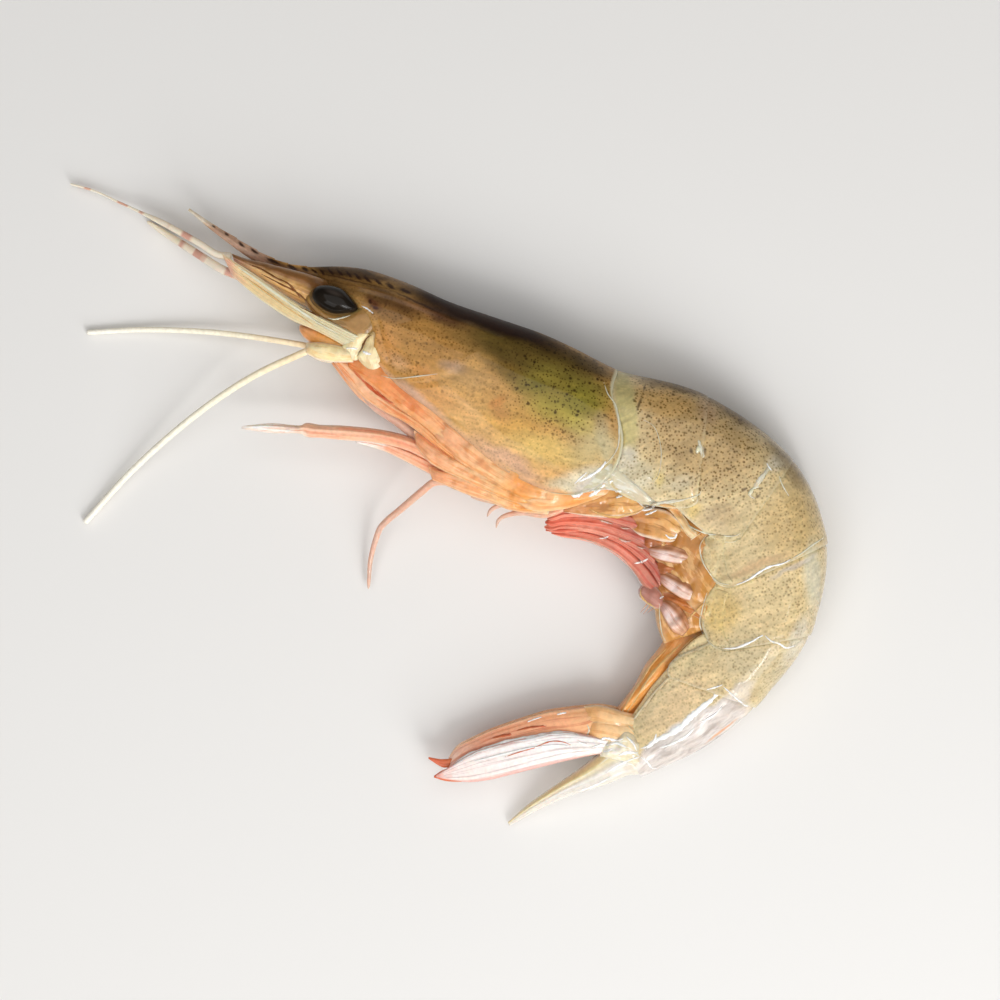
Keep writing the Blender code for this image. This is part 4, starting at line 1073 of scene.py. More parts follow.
def make_segment(index):
    """One plate, with t = 0 at the joint before it and t = 1 at its rear rim."""
    rows, hidden = 80, 12
    flange = FLANGES[index]
    t = np.r_[np.linspace(-flange, 0.0, hidden)[:-1],
              (1 - np.cos(np.pi * np.linspace(0, 1, rows - hidden + 1))) / 2][:, None]
    s = index + 0.005 + 1.015 * t
    lobe = PLEURA_LOBES[index]
    tall = np.linalg.norm(abdomen_back(s) - pleura_joints(s), axis=-1)
    along = (t + flange) / (1 + flange) if index else t
    round_off = np.sqrt(np.clip(1 - (2 * along - 1) ** 2, 0.0, 1.0))
    edge = -1 - 2 * np.linalg.norm(lobe) * round_off / tall
    walk = shell_walk(low=24, high=34)
    q, share, inset, spread = shell_section(walk, edge, roof=groove_roof(s), widest=0.1,
                                            incurve=0.15, thick=0.6)
    s = np.broadcast_to(s, q.shape)
    place = abdomen_place(s, np.maximum(q, -1.0))
    below = np.maximum(-1 - q, 0.0) / 2 * tall
    place = place + lobe / np.linalg.norm(lobe) * below[..., None]
    up = unit(abdomen_place(s, np.ones(s.shape)) - abdomen_place(s, -np.ones(s.shape)))
    tuck = TUCK[index] * (ramp((0.06 - t) / 0.1) if index else ramp(-t / flange))
    rim = RIM_STEP[index] * ramp((t - 0.72) / 0.22) - tuck
    outside = 1 - walk[3]
    from_edge = (q - edge) / 2 * tall
    lip = 0.04 * bell(t - 1.0, 0.02) - 0.04 * bell(t - 0.94, 0.03)
    lip = (lip + 0.09 * bell(from_edge, 0.2) - 0.05 * bell(from_edge - 0.6, 0.25)) * outside
    place = place + up * (rim * np.maximum(q, 0.0))[..., None]
    points = np.concatenate([place, abdomen_height(s)[..., None]], -1)
    relief = lip + lumps(points, size=4.0, height=0.10, seed=index * 7.3) * outside
    points[..., 2] += ((abdomen_half(s) + rim) * share - inset) * spread + relief * np.sign(spread)
    pale = np.maximum(RIM_PALE[index] * ramp((t - 0.95) / 0.04),
                      0.75 * ramp((0.35 - from_edge) / 0.25)) + 0 * q
    name = f"segment_shell_{index + 1}"
    mesh = skin(name, [points], rim=[pale])
    return add_piece(name, mesh, SEGMENT, [f"segment_{index + 1}"])


segments = [make_segment(index) for index in range(6)]
print("segment faces:", [len(piece.data.polygons) for piece in segments])

# %% [markdown]
# ## Belly
#
# Between the free edges of the plates lies the soft belly: thin orange skin over muscle, folded
# where the tail bends. It carries the swimmerets.

# %% Belly skin
belly_keel = curve([(0.25, (23.4, 1.6)), (1, (31.0, -2.0)), (2, (33.4, -6.6)), (3, (32.4, -12.6)),
                    (4, (31.0, -19.6)), (4.6, (28.3, -23.3)), (5, (26.9, -26.0)),
                    (5.75, (24.3, -29.5))])
belly_half = curve([(0.25, 1.0), (3, 1.3), (4.2, 1.3), (5, 2.0), (5.75, 1.6)])
BELLY_START, BELLY_END = 0.25, 5.75    # counted in joints, as s is


def make_belly():
    """Rings down one flank from under the plates and up the other."""
    rows = 150
    s = np.linspace(BELLY_START, BELLY_END, rows)
    root = abdomen_place(s, groove_roof(s) - 0.1)
    keel = belly_keel(s)
    wide, narrow = 0.42 * abdomen_half(s), belly_half(s)
    down = np.linspace(0.0, 1.0, 14)
    body = curve([(0, 0.7), (0.15, 1.0), (0.4, 1.0), (0.6, 0.0), (0.9, 0.0), (1.0, 0.0)])(down)
    tip = curve([(0, 0.0), (0.4, 0.0), (0.6, 1.0), (0.9, 1.0), (1.0, 0.25)])(down)
    narrow = narrow + 0.8 * ramp(s - 3.4)
    half = wide[:, None] * body + narrow[:, None] * tip
    page = root[:, None] + (keel - root)[:, None] * down[None, :, None]
    cord = 0.16 * np.cos(2 * np.pi * 4 * down) * bell(down - 0.7, 0.35)
    middle = abdomen_height(s)[:, None]
    near = np.concatenate([page, (middle + half + cord)[..., None]], -1)
    far = np.concatenate([page, (middle - half - cord)[..., None]], -1)[:, ::-1]
    grid = np.concatenate([near, far], 1)
    grid[..., 2] += lumps(grid, size=3.0, height=0.2)
    count = grid.shape[1]
    down = np.r_[down, down[::-1]] * 2 - 1
    mesh = skin("belly_skin", [grid], share=[np.repeat(s / BELLY_END, count)],
                across=[np.tile(down, rows)], run=[np.repeat(s * 8, count)])
    return add_piece("belly_skin", mesh, BELLY, ["belly"])


belly = make_belly()
print("belly faces:", len(belly.data.polygons))

# %% [markdown]
# ## Strips
#
# The soft pieces under the shell are strips with two edges in the page and a rounded thickness:
# legs, swimmerets, tail leaves, scales and the skin round the mouth. Each left one is read from
# the picture. The right one, which the body hides, is the same strip at the mirrored height.

# %% Mirrored strips
HEAD_PLANE, TAIL_PLANE = 7.0, 4.6    # heights that the right pieces are mirrored at, in mm
LOWEST = 1.0                         # no mirrored midplane lies lower than this


def add_pair(name, finish, slot, node, upper, lower, heights, bulge, plane=HEAD_PLANE,
             shift=(0.0, 0.0), **more):
    """A strip on the left flank and its mate on the right, a little shifted in the page."""
    add_band(f"{name}_left", finish, slot, node and f"{node}_left", upper, lower, heights, bulge,
             **more)
    upper, lower = ([(x + shift[0], y + shift[1]) for x, y in edge] for edge in (upper, lower))
    low = [max(2 * plane - z, LOWEST) for z in heights]
    more["tilt"] = -more.get("tilt", 0.0)
    add_band(f"{name}_right", finish, slot, node and f"{node}_right", upper, lower, low, bulge,
             **more)


# %% [markdown]
# ## Tail fan
#
# The telson is a pointed spike. Each side of it has two leaves, the uropods, on a short stem. They
# are folded together here because the animal lies on them. A leaf is a thin plate with ribs.

# %% Telson, stems and leaves
telson_grid, telson_shares = band_grid(
    [(25.0, -33.6), (22.7, -35.1), (20.4, -37.0), (18.3, -38.6), (15.0, -40.9), (11.6, -43.4),
     (8.7, -46.0)],
    [(28.7, -39.0), (26.1, -39.1), (23.9, -40.0), (21.4, -40.9), (17.6, -42.1), (13.3, -44.1),
     (8.9, -46.6)],
    (4.2, 4.2, 3.8, 3.0, 1.9, 0.9), (2.6, 2.2, 1.7, 1.0, 0.3), square=0.8, ends=(0.05, 0.2),
    ribs=[(0.5, 0.3, 0.1), (-0.15, 0.25, 0.08), (-0.6, 0.16, 0.08)], rows=90)
add_piece("telson_spike", skin("telson_spike", [telson_grid], **telson_shares), TELSON,
          ["telson"])
add_pair(
    "uropod_stem", TAIL_STEM, "uropod_leaf", None,
    [(27.6, -30.4), (25.6, -29.9), (23.6, -29.3), (21.6, -28.9), (19.6, -29.1)],
    [(27, -33.1), (25.3, -33), (23.3, -32.6), (21.4, -32.3), (19.4, -32)],
    (5.6, 6.2, 6.3, 5.9), (1.2, 1.3, 1.1, 0.6), TAIL_PLANE, ends=(0.1, 0.15), rough=0.12, square=0.7)
add_pair(
    "uropod_knuckle", TAIL_STEM, "uropod_leaf", None,
    [(27.6, -32.1), (25.6, -31.3), (23.3, -31), (21.3, -31.1), (20.1, -31.7)],
    [(26.7, -35.6), (25, -35), (23, -34.1), (21.1, -33.7), (20.1, -33.1)],
    (5.8, 6.4, 6.5, 6.2), (1.1, 1.2, 1.1, 0.8), TAIL_PLANE, ends=(0.1, 0.2), rough=0.15, square=0.7,
    ribs=[(0.85, 0.22, 0.08), (-0.85, 0.2, 0.08)])
add_pair(
    "uropod_outer_leaf", OUTER_LEAF, "uropod_leaf", "uropod_outer",
    [(25, -29.7), (21.9, -29.1), (19, -29.3), (16.4, -29.6), (14, -30), (10.4, -31.1), (6.1, -32.6),
     (3.3, -33.9), (1.4, -34.9), (0.3, -36.3), (-0.1, -37.6)],
    [(25.3, -31.6), (22.1, -31.7), (20.1, -33.1), (16.4, -33.7), (14, -34), (11.1, -34.6), (7.6, -35.4),
     (5, -36.3), (3, -37), (1.4, -37.7), (0, -38.1)],
    (6, 6, 5.6, 5.2, 4.9), (0.9, 0.7, 0.45, 0.35, 0.3), TAIL_PLANE, (0.2, 0.3), tilt=-0.4, square=0.7,
    ends=(0.06, 0.06), ribs=[(0.92, 0.18, 0.05), (0.5, 0.16, 0.06), (0.1, 0.22, 0.07), (-0.3, 0.14, 0.06)],
    rough=0.06)
add_pair(
    "uropod_inner_leaf", INNER_LEAF, "uropod_leaf", "uropod_inner",
    [(23.3, -33.9), (20.1, -33.1), (16.9, -32.7), (14, -33), (11.1, -33.6), (8.3, -34.3), (4.7, -35.3),
     (2.1, -36.6), (0.4, -37.7), (-1.6, -39)],
    [(22.1, -35.9), (19.7, -36.3), (16.9, -36.9), (14, -37.6), (11.1, -38.3), (8.3, -39), (5.7, -39.6),
     (3, -39.9), (0.4, -39.7), (-1.6, -39.3)],
    (6.4, 6.6, 6.3, 5.9, 5.5), (0.9, 0.8, 0.6, 0.45, 0.3), TAIL_PLANE, (0.3, -0.2), tilt=0.3, square=0.7,
    ends=(0.06, 0.04),
    ribs=[(0.75, 0.24, 0.08), (0.35, 0.12, 0.07), (0, 0.26, 0.08), (-0.35, 0.14, 0.07), (-0.75, 0.16, 0.07)],
    rough=0.06, rows=110)
add_pair(
    "tail_hinge", JOINT_SKIN, "telson_shell", None,
    [(27.9, -34.1), (26.4, -32.7), (25, -32.4), (23.6, -33.6), (22, -34.6)],
    [(28.4, -38.1), (27, -37.6), (25.3, -37), (23.6, -36.7), (21.9, -36.3)],
    (5.6, 6.2, 6.5, 6.3, 5.9), (1.2, 1.4, 1.2, 0.8), TAIL_PLANE, ends=(0.1, 0.2), rough=0.35, square=0.7,
    ribs=[(0.4, 0.25, 0.12), (-0.3, 0.2, 0.1)])
LEAF_TIPS = [
    ([(0.7, -36.6), (-0.9, -36.7), (-2.7, -36.4)], [(0.4, -37.9), (-0.7, -37.9), (-2.7, -36.7)]),
    ([(0.7, -37.9), (-0.7, -38.3), (-1.9, -39.1)], [(2.1, -40), (-0.1, -39.9), (-1.9, -39.4)]),
]
for number, (upper, lower) in enumerate(LEAF_TIPS):
    add_band(f"uropod_tip_{number + 1}", RED_LINE, "uropod_leaf", None, upper, lower,
             (5.2, 5.0, 4.8), 0.25, ends=(0.1, 0.3), rows=24, columns=16)
print("pieces:", len(PIECES))

# %% [markdown]
# ## Swimmerets
#
# Each of the first five plates carries a pair of swimmerets. A fat clear lobe sits at the belly and
# thin red blades sweep forward from it, pressed into one bundle.

# %% Lobes and blades
# Each is a finish, the lobe's upper and lower edges, and the blade's upper and lower edges.
SWIMMERETS = [
    (SWIM_LOBE, [(29, 0.7), (26.7, 1.9), (24.4, 2.3), (21.9, 1.9), (19.6, 0.9), (17.7, -0.3), (16.6, -0.9)],
     [(28.7, 0), (27.6, -1.3), (25.3, -2), (22.4, -2.1), (20.1, -1.9), (18.3, -1.6), (16.6, -1.3)],
     [(27.6, -2.1), (24.7, -1.3), (21.9, -0.6), (19, -0.4), (16.6, -0.9), (15.1, -1.3), (14.3, -2)],
     [(27.6, -4), (24.7, -3.1), (21.9, -2.4), (19, -2.1), (16.7, -2.1), (15.1, -2.6), (14.3, -2.3)]),
    (SWIM_LOBE, [(34.1, -4.3), (32.9, -2.4), (31.1, -1), (29, -0.6), (27, -1.1), (25.6, -2.1)],
     [(33.6, -5.1), (31.6, -5.6), (29, -5.1), (27, -4.4), (25.6, -3.1)],
     [(28.3, -4), (25.4, -2.9), (22.6, -2), (19.7, -1.6), (17, -1.7), (15, -2), (14, -2.6)],
     [(28.3, -5.9), (25.4, -4.7), (22.6, -3.7), (19.7, -3.3), (17, -3.1), (15, -3.4), (14, -2.9)]),
    (SWIM_WHITE, [(35.3, -7.9), (34.1, -6.7), (31.7, -5.9), (29.7, -5.9), (28.1, -6.1)],
     [(35.1, -8.1), (33.7, -8.7), (30.7, -8.3), (29, -7.6), (28.1, -6.7)],
     [(29.7, -6.9), (27.6, -5.1), (24.7, -3.7), (21.9, -2.9), (19, -2.4), (16.4, -2.6), (14.7, -2.9),
      (13.9, -3.3)],
     [(29.7, -8.9), (27.6, -7), (24.7, -5.6), (21.9, -4.6), (19, -4), (16.4, -3.7), (14.9, -4),
      (13.9, -3.6)]),
    (SWIM_WHITE, [(36, -13.4), (35.1, -11.7), (32.7, -10.3), (31.1, -9.7), (29.9, -10)],
     [(35.9, -13.9), (34, -13.9), (31.9, -12.7), (30.7, -11.7), (29.9, -10.6)],
     [(31, -9.9), (29.6, -7.9), (27.6, -6), (24.7, -4.3), (21.9, -3.3), (18.7, -2.9), (15.9, -3),
      (14.1, -3.7)],
     [(30.4, -11.9), (29, -9.7), (27.3, -7.9), (24.7, -5.9), (21.9, -4.7), (19, -4.1), (15.9, -4.3),
      (14.1, -4)]),
    (SWIM_WHITE, [(34.7, -17.9), (34.1, -16), (33, -14.6), (31.6, -13.7), (30.4, -13.9)],
     [(33.6, -19), (32.1, -18.3), (31, -16.6), (30.3, -15.1), (30.1, -14.3)],
     [(30.4, -11.7), (29.1, -9.6), (27.6, -8), (25, -6), (22.3, -4.7), (19.4, -4), (16.7, -3.7),
      (14.9, -4.1)],
     [(29.6, -13.1), (28, -11.9), (26.7, -10), (24.6, -7.9), (21.6, -6.1), (19, -5.3), (16.4, -4.9),
      (14.9, -4.4)]),
]
SWIM_LIFT = (11.0, 10.8, 10.5, 10.2, 9.6)    # height of each lobe in millimetres


def make_swimmeret(number):
    """A pair of lobes for the CAD nodes, and a pair of blades."""
    finish, *edges = SWIMMERETS[number]
    lift = SWIM_LIFT[number]
    name, node = f"swimmeret_{number + 1}", f"pleopod_{number + 1}"
    add_pair(f"{name}_lobe", finish, "pleopod_skin", node, *edges[:2],
             (lift - 1.0, lift, lift, lift - 0.3, lift - 0.8), (0.8, 1.0, 0.9, 0.8, 0.5),
             ends=(0.2, 0.2), square=0.6, rough=0.35, shift=(0.4, 0.3),
             ribs=[(0.85, 0.16, 0.07), (0.3, 0.2, 0.16), (-0.85, 0.2, 0.07)])
    add_pair(f"{name}_blade", SWIM_DEEP if number in (1, 3) else SWIM_BLADE, "pleopod_skin", None,
             *edges[2:],
             (lift - 0.8, lift - 1.1, 9.0, 8.3 - 0.1 * number, 7.8 - 0.2 * number),
             (1.0, 0.95, 0.9, 0.85, 0.75), ends=(0.1, 0.14), square=0.8,
             ribs=[(0.55, 0.2, 0.12), (-0.35 - 0.05 * number, 0.22, 0.12)],
             rough=0.16, shift=(0.5, 0.4), tilt=-0.25)


for number in range(len(SWIMMERETS)):
    make_swimmeret(number)

# %% [markdown]
# The belly's skin hangs in small flaps and one long fold, which close the gaps between plates.

# %% Flaps, folds and roots
FLAPS = [
    ([(35.3, -6.4), (33, -5), (30.7, -4.4), (28.6, -4.4), (27.6, -5)],
     [(35, -7.6), (32.4, -7), (30.4, -6.9), (28.7, -6.7), (27.6, -5.9)], 9.9),
    ([(36.7, -10.1), (34.7, -8.6), (32.4, -8.1), (30.6, -8.1), (29.6, -8.7)],
     [(36.1, -12.7), (34.1, -11.6), (32.4, -10.7), (30.7, -10.4), (29.6, -9.7)], 9.6),
    ([(37, -14.7), (35.3, -13.9), (33.3, -13.3), (31.6, -12.7), (30.4, -12.7)],
     [(36.7, -17), (35, -16.1), (33.3, -15.3), (31.9, -14.7), (30.4, -13.9)], 9.0),
]
for number, (upper, lower, height) in enumerate(FLAPS):
    add_pair(f"swimmeret_flap_{number + 1}", FLAP, "pleopod_skin", None, upper, lower,
             (height - 0.4, height, height, height - 0.3), 1.0, ends=(0.15, 0.2), rough=0.4,
             square=0.7, ribs=[(0.85, 0.16, 0.08), (0.0, 0.25, 0.15)])
add_pair(
    "belly_fold", FOLD, "belly_flesh", None,
    [(39.3, -8.1), (37.9, -5), (35.3, -1.9), (31.6, 0.4), (27.6, 1.6), (23.6, 1.9)],
    [(36.7, -16.7), (34.1, -14.1), (31.6, -10.4), (28.7, -7), (26.1, -4.4), (23.3, -1.6)],
    (9.9, 9.9, 9.6, 9.3, 9), (1.4, 1.4, 1.3, 1, 0.8), ends=(0.15, 0.2), rough=0.7,
    ribs=[(0.6, 0.35, 0.1), (0.35, 0.25, 0.08), (0.05, 0.3, 0.1), (-0.35, 0.35, 0.1)], square=0.7, rows=80)
add_pair(
    "swimmeret_root", FOLD, "pleopod_skin", None,
    [(37.9, -17.9), (36.7, -14.7), (34.7, -13), (32.7, -11.9), (31.6, -10.7)],
    [(31, -20.1), (30.1, -17.9), (29.7, -15.6), (29.6, -13.6), (29.9, -11.3)],
    (7.6, 8.2, 8.4, 8.2), (1.4, 1.5, 1.2, 0.6), ends=(0.2, 0.3), rough=0.25)
add_pair(
    "swimmeret_bud", MAUVE, "pleopod_skin", None,
    [(31, -14.1), (30.4, -12.6), (29.3, -11.6), (28, -11.7), (27.4, -12.4)],
    [(30.6, -15.1), (29.6, -15), (28.4, -14.3), (27.6, -13.6), (27.4, -13)],
    (9, 9.2, 9, 8.8), (0.9, 0.9, 0.7, 0.5), ends=(0.2, 0.2), rough=0.2)
print("pieces:", len(PIECES))

# %% [markdown]
# ## Threads
#
# Feelers, thin legs and bristles are round in section and taper to a point. The first threads are
# three stiff bristles between the swimmerets, the only ones thick enough to be seen.

# %% Round threads
def add_thread(name, finish, node, read, radius, columns=12, count=120, root=0.0, tip=0.5,
               offset=0.0):
    """read gives (count, 3) centres for shares of the length, and radius its size there."""
    t = np.linspace(0.0, 1.0, count)
    centres = read(t)
    size = radius(t)
    centres[:, 2] = np.maximum(centres[:, 2], size + 0.02)
    grid = oval_sweep(centres, page_across(centres), size, size, columns, round_ends=(root, tip))
    run = run_along(centres) + offset
    mesh = skin(name, [grid], share=[np.repeat(t, columns)], run=[np.repeat(run, columns)],
                across=[np.tile(np.cos(ring_angles(columns)), count)])
    return add_piece(name, mesh, finish, [node] if node else [])


BRISTLES = [
    [(28.6, -14.3, 8.2), (27.6, -15.7, 7.6)],
    [(29, -14.6, 8.2), (28, -15.9, 7.6)],
    [(29.6, -14.9, 8.2), (28.6, -15.7, 7.6)],
]
for number, ends in enumerate(BRISTLES):
    add_thread(f"swimmeret_bristle_{number + 1}", SWIM_WHITE, None, route(ends),
               lambda t: 0.12 * (1 - 0.7 * t), columns=8, count=12, tip=0.1)

# %% [markdown]
# ## Eyes
#
# A shrimp's eye sits on a short stalk. Dead and wet, it is a black glossy bead with a thin
# greenish-brown rim where the cornea meets the stalk.

# %% Eyes and stalks
EYE_PLACE, EYE_HALF, EYE_TURN = (-15.9, 28.8), (3.45, 1.9, 1.9), math.radians(-21)
EYE_SPREAD = 4.5        # how far the left eye stands out from the head's midplane
EYE_SETTLE = 0.3        # how much less the right eye does, which the head lies on


def add_ball(name, finish, node, centre, half, turn, rows=40, columns=48, point=0.0):
    """An ellipsoid with its long axis turned in the page. point draws in its far end."""
    polar = np.linspace(0.02, np.pi - 0.02, rows)[:, None]
    angle = ring_angles(columns)
    ball = np.stack([np.cos(polar) + 0 * angle, np.sin(polar) * np.cos(angle),
                     np.sin(polar) * np.sin(angle)], -1) * np.array(half)
    ball[..., 1] *= 1 - point * ramp(ball[..., 0] / half[0])
    c, s = math.cos(turn), math.sin(turn)
    grid = ball @ np.array(((c, -s, 0), (s, c, 0), (0, 0, 1))).T + np.array(centre)
    return add_piece(name, skin(name, [grid]), finish, [node] if node else [])


for side, suffix in ((1, "left"), (-1, "right")):
    lift = EYE_SPREAD if side > 0 else EYE_SPREAD - EYE_SETTLE
    height = float(height_at(EYE_PLACE))
    add_ball(f"eye_ball_{suffix}", EYE, f"eye_{suffix}",
             (*EYE_PLACE, height + side * lift), EYE_HALF, EYE_TURN, point=0.35)
    add_ball(f"eye_cup_{suffix}", STALK, f"eyestalk_{suffix}",
             (EYE_PLACE[0] - 0.2, EYE_PLACE[1] - 0.15, height + side * (lift - 0.8)),
             (3.6, 2.15, 1.7), EYE_TURN, point=0.3)

# %% [markdown]
# In front of the carapace soft skin lies in folds. Strips that overlap make the same seams.

# %% Socket, cheeks and mouth
add_pair(
    "eye_socket", SOCKET, "carapace_shell", None,
    [(-20.1, 31), (-18.7, 28.7), (-16.7, 27.1), (-14.1, 27), (-11.9, 27.9), (-9.9, 28.1)],
    [(-20.9, 30), (-19.3, 27.1), (-16, 24.9), (-12.7, 23.4), (-10.4, 24.1), (-8.7, 25.9)],
    (8.8, 9.6, 10, 10.3, 10.5, 10.6), (0.9, 1.1, 1.2, 1.2, 0.9), ends=(0.15, 0.1), rough=0.15, square=0.7)
add_pair(
    "cheek_front", CHEEK, "carapace_shell", None,
    [(-9.6, 25.3), (-10.7, 24.1), (-11.6, 22.9), (-12.1, 21.7), (-12.7, 20.3)],
    [(-13, 24.4), (-14.1, 23.4), (-14.9, 22.3), (-15.1, 21.3), (-15, 20.1)],
    (10.4, 10.5, 10.5, 10.3, 10), (0.8, 0.9, 0.9, 0.8, 0.7), rough=0.2, square=0.7)
add_pair(
    "cheek_back", CHEEK, "carapace_shell", None,
    [(-9.3, 26.4), (-8.4, 24.4), (-8.4, 22.1), (-9, 20.1), (-10, 18.4)],
    [(-10.7, 24.4), (-11.4, 23.4), (-12, 22), (-12.7, 20.7), (-11.3, 19)],
    (10.6, 10.7, 10.7, 10.4, 9.8), (0.8, 0.9, 0.9, 0.9, 0.7), rough=0.25, square=0.7)
add_pair(
    "mouth_skin", MOUTH, "antenna_stem", None,
    [(-21, 25.4), (-18.4, 24.9), (-15.9, 23.6), (-13.6, 22.1)],
    [(-21.1, 24.7), (-20.4, 23.6), (-18.7, 22.4), (-16.1, 21.6)],
    (8.6, 9, 9.4, 9.6), (0.5, 0.9, 1, 0.8), ends=(0.15, 0.2), rough=0.15, ribs=[(-0.85, 0.15, 0.1)])
print("pieces:", len(PIECES))

# %% [markdown]
# ## Feelers
#
# Two pairs: the antennules with two short banded whips each, and the antennae with a leaf-like
# scale and one long whip, broken short here.

# %% Antennules
WHIPS = {
    "upper": [(-30.9, 35.3), (-32.9, 35.6), (-35.3, 37.1), (-38.1, 38.7), (-41, 40.3), (-43.9, 41.7),
              (-47.3, 43.3), (-51, 45), (-54.4, 46)],
    "lower": [(-29.6, 32.4), (-32.1, 33.4), (-34.7, 35), (-37.6, 36.9), (-40.3, 38.6), (-43.3, 40.6)],
}
WHIP_RADIUS = {"upper": 0.5, "lower": 0.62}
WHIP_TAPER = {"upper": curve([(0, 1.0), (0.45, 0.8), (0.58, 0.4), (1, 0.3)]),
              "lower": curve([(0, 1.0), (0.6, 0.9), (0.9, 0.6), (1, 0.35)])}
add_pair(
    "antennule_stem", STEM, "antennule_stem", "antennule",
    [(-16.7, 31.7), (-20.6, 32.9), (-23.7, 33.7), (-26.4, 34.4), (-28.7, 34.9), (-30.7, 35.6)],
    [(-17, 26.4), (-20.6, 28.3), (-23.6, 30), (-26.3, 31.7), (-28.4, 33.1), (-30.4, 34.4)],
    (7.4, 8.7, 8.6, 8.2, 8), (1.3, 1.5, 1.3, 1, 0.7), square=0.8,
    ribs=[(0.5, 0.2, 0.12), (-0.1, 0.25, 0.12), (-0.6, 0.2, 0.12)], rough=0.15)
WHIP_SPREAD = 1.4                              # a whip's root is this far from the midplane
WHIP_REST = {"left": 1.5, "right": 0.6}        # and its tip lies at this height
RINGS = 50                                     # fine raised rings along a whip
for side, suffix in ((1, "left"), (-1, "right")):
    for kind, points in WHIPS.items():
        base = float(height_at(points[0])) + side * WHIP_SPREAD
        low = WHIP_REST[suffix]
        spots = [(x, y, base + (low - base) * float(ramp(k)))
                 for k, (x, y) in zip(np.linspace(0, 1, len(points)), points)]
        add_thread(f"antennule_lash_{kind}_{suffix}", WHIP,
                   f"antennule_whip_{kind}_{suffix}", route(spots),
                   lambda t: (WHIP_RADIUS[kind] * WHIP_TAPER[kind](t)
                              * (1 + 0.03 * np.sin(2 * np.pi * t * RINGS))),
                   count=200, offset=40 * (side > 0) + 17 * (kind == "upper"))
print("pieces:", len(PIECES))

# %% [markdown]
# The long whip is round and stiff and hardly tapers, because only its first part is left.

# %% Antennae
add_pair(
    "antenna_scale", SCALE, "antennal_scale", "antennal_scale",
    [(-11.9, 23.6), (-14.6, 24.9), (-18.1, 26.6), (-22.4, 29.1), (-26.4, 31.9), (-29.6, 34), (-32.1, 35.6)],
    [(-13.6, 21.6), (-15.6, 22.9), (-18.4, 24.4), (-22.1, 26.1), (-26, 28.6), (-28.7, 30.7), (-30.6, 32.4)],
    (10.6, 10.8, 10.6, 10.2, 9.8, 9.6), (0.9, 0.7, 0.55, 0.45, 0.4, 0.3), tilt=0.4, square=0.7,
    ends=(0.08, 0.05),
    ribs=[(0.75, 0.2, 0.06), (0.4, 0.16, 0.05), (0.05, 0.22, 0.07), (-0.35, 0.14, 0.05), (-0.7, 0.12, 0.05)],
    columns=56, rows=90)
add_pair(
    "antenna_stem", ANTENNA_BASE, "antenna_stem", "antenna_base",
    [(-13.3, 21.9), (-15.3, 22.4), (-17.9, 22.9), (-20, 22.9)],
    [(-13.3, 20), (-16, 20), (-18.4, 20.4), (-20.3, 21.4)],
    (10, 10.2, 10, 9.6), (1.2, 1.5, 1.4, 1), rough=0.2)
ANTENNAE = {
    "left": [(-19.4, 21.9, 9.7), (-28.1, 17.9, 7.4), (-36.7, 12.2, 4.2), (-45.3, 4.8, 1.6),
             (-52.4, -2.9, 0.6)],
    "right": [(-19.4, 22.5, 3.2), (-28.1, 23.9, 2.6), (-35.3, 24.7, 1.7), (-43.9, 25, 0.9),
              (-52.1, 24.6, 0.6)],
}
ANTENNA_RADIUS = {"left": 0.52, "right": 0.44}
ANTENNA_RINGS = 80
for suffix, spots in ANTENNAE.items():
    add_thread(f"antenna_lash_{suffix}", ANTENNA, f"antenna_whip_{suffix}",
               path(spots),
               lambda t: ((ANTENNA_RADIUS[suffix] - 0.06 * t)
                          * (1 + 0.03 * np.sin(2 * np.pi * t * ANTENNA_RINGS))),
               columns=14, count=320, tip=0.3)
print("pieces:", len(PIECES))

# %% [markdown]
# ## Legs
#
# Five walking legs a side and a pair of jaw legs, all thin and limp. They leave the body under the
# edge of the carapace, where their bases make one orange mass of muscle and thin skin.

# %% Jaw legs and first legs
add_pair(
    "jaw_leg", JAW_ORANGE, "leg_shell", "maxilliped",
    [(5.6, 8.4), (2.4, 11.3), (-1, 14.4), (-4.7, 17.3), (-9, 19.9), (-13.6, 20.9)],
    [(2.7, 5.9), (-0.1, 8.1), (-3.9, 11.3), (-6.7, 13.3), (-10.3, 16.3), (-14.4, 19.4)],
    (10.9, 10.9, 10.5, 10, 9.6, 8.8), (1, 1.1, 1.2, 1.2, 1.1, 0.7), ends=(0.1, 0.12),
    ribs=[(-0.2, 0.2, 0.12), (-0.65, 0.15, 0.1)], rough=0.2, shift=(-0.2, -0.1), square=0.7)
add_pair(
    "walking_leg_1", JAW_LEG, "leg_shell", "leg_1",
    [(3.3, 6.1), (0.1, 8.1), (-3.3, 11.6), (-7, 13.9), (-10.1, 16.4), (-13.6, 19.6), (-15.7, 20.7)],
    [(2.1, 5), (-2.4, 8.7), (-5.9, 11.4), (-9, 13), (-12.1, 15.1), (-13.9, 17.1), (-16.3, 20.3)],
    (10.4, 10.4, 9.9, 9.2, 8.8, 8.4), (1, 1.1, 1.1, 1, 0.8, 0.5), ends=(0.1, 0.1),
    ribs=[(0.3, 0.22, 0.14), (-0.4, 0.18, 0.12)], rough=0.15, shift=(-0.3, -0.3), square=0.8)
add_band(
    "walking_leg_1_palp", THIN_LEG, "leg_shell", None,
    [(2.1, 5.9), (-2.4, 9), (-6.1, 11.9), (-9, 13.7), (-11.6, 15.6), (-12.6, 16.7)],
    [(1.1, 5), (-4.1, 8.3), (-5.6, 9.6), (-7.9, 11.4), (-10.7, 13.3), (-12.3, 15.3)],
    (8, 8.2, 7.8, 7.4, 7.2), (0.8, 0.8, 0.7, 0.6, 0.4), ends=(0.1, 0.15), rough=0.1)
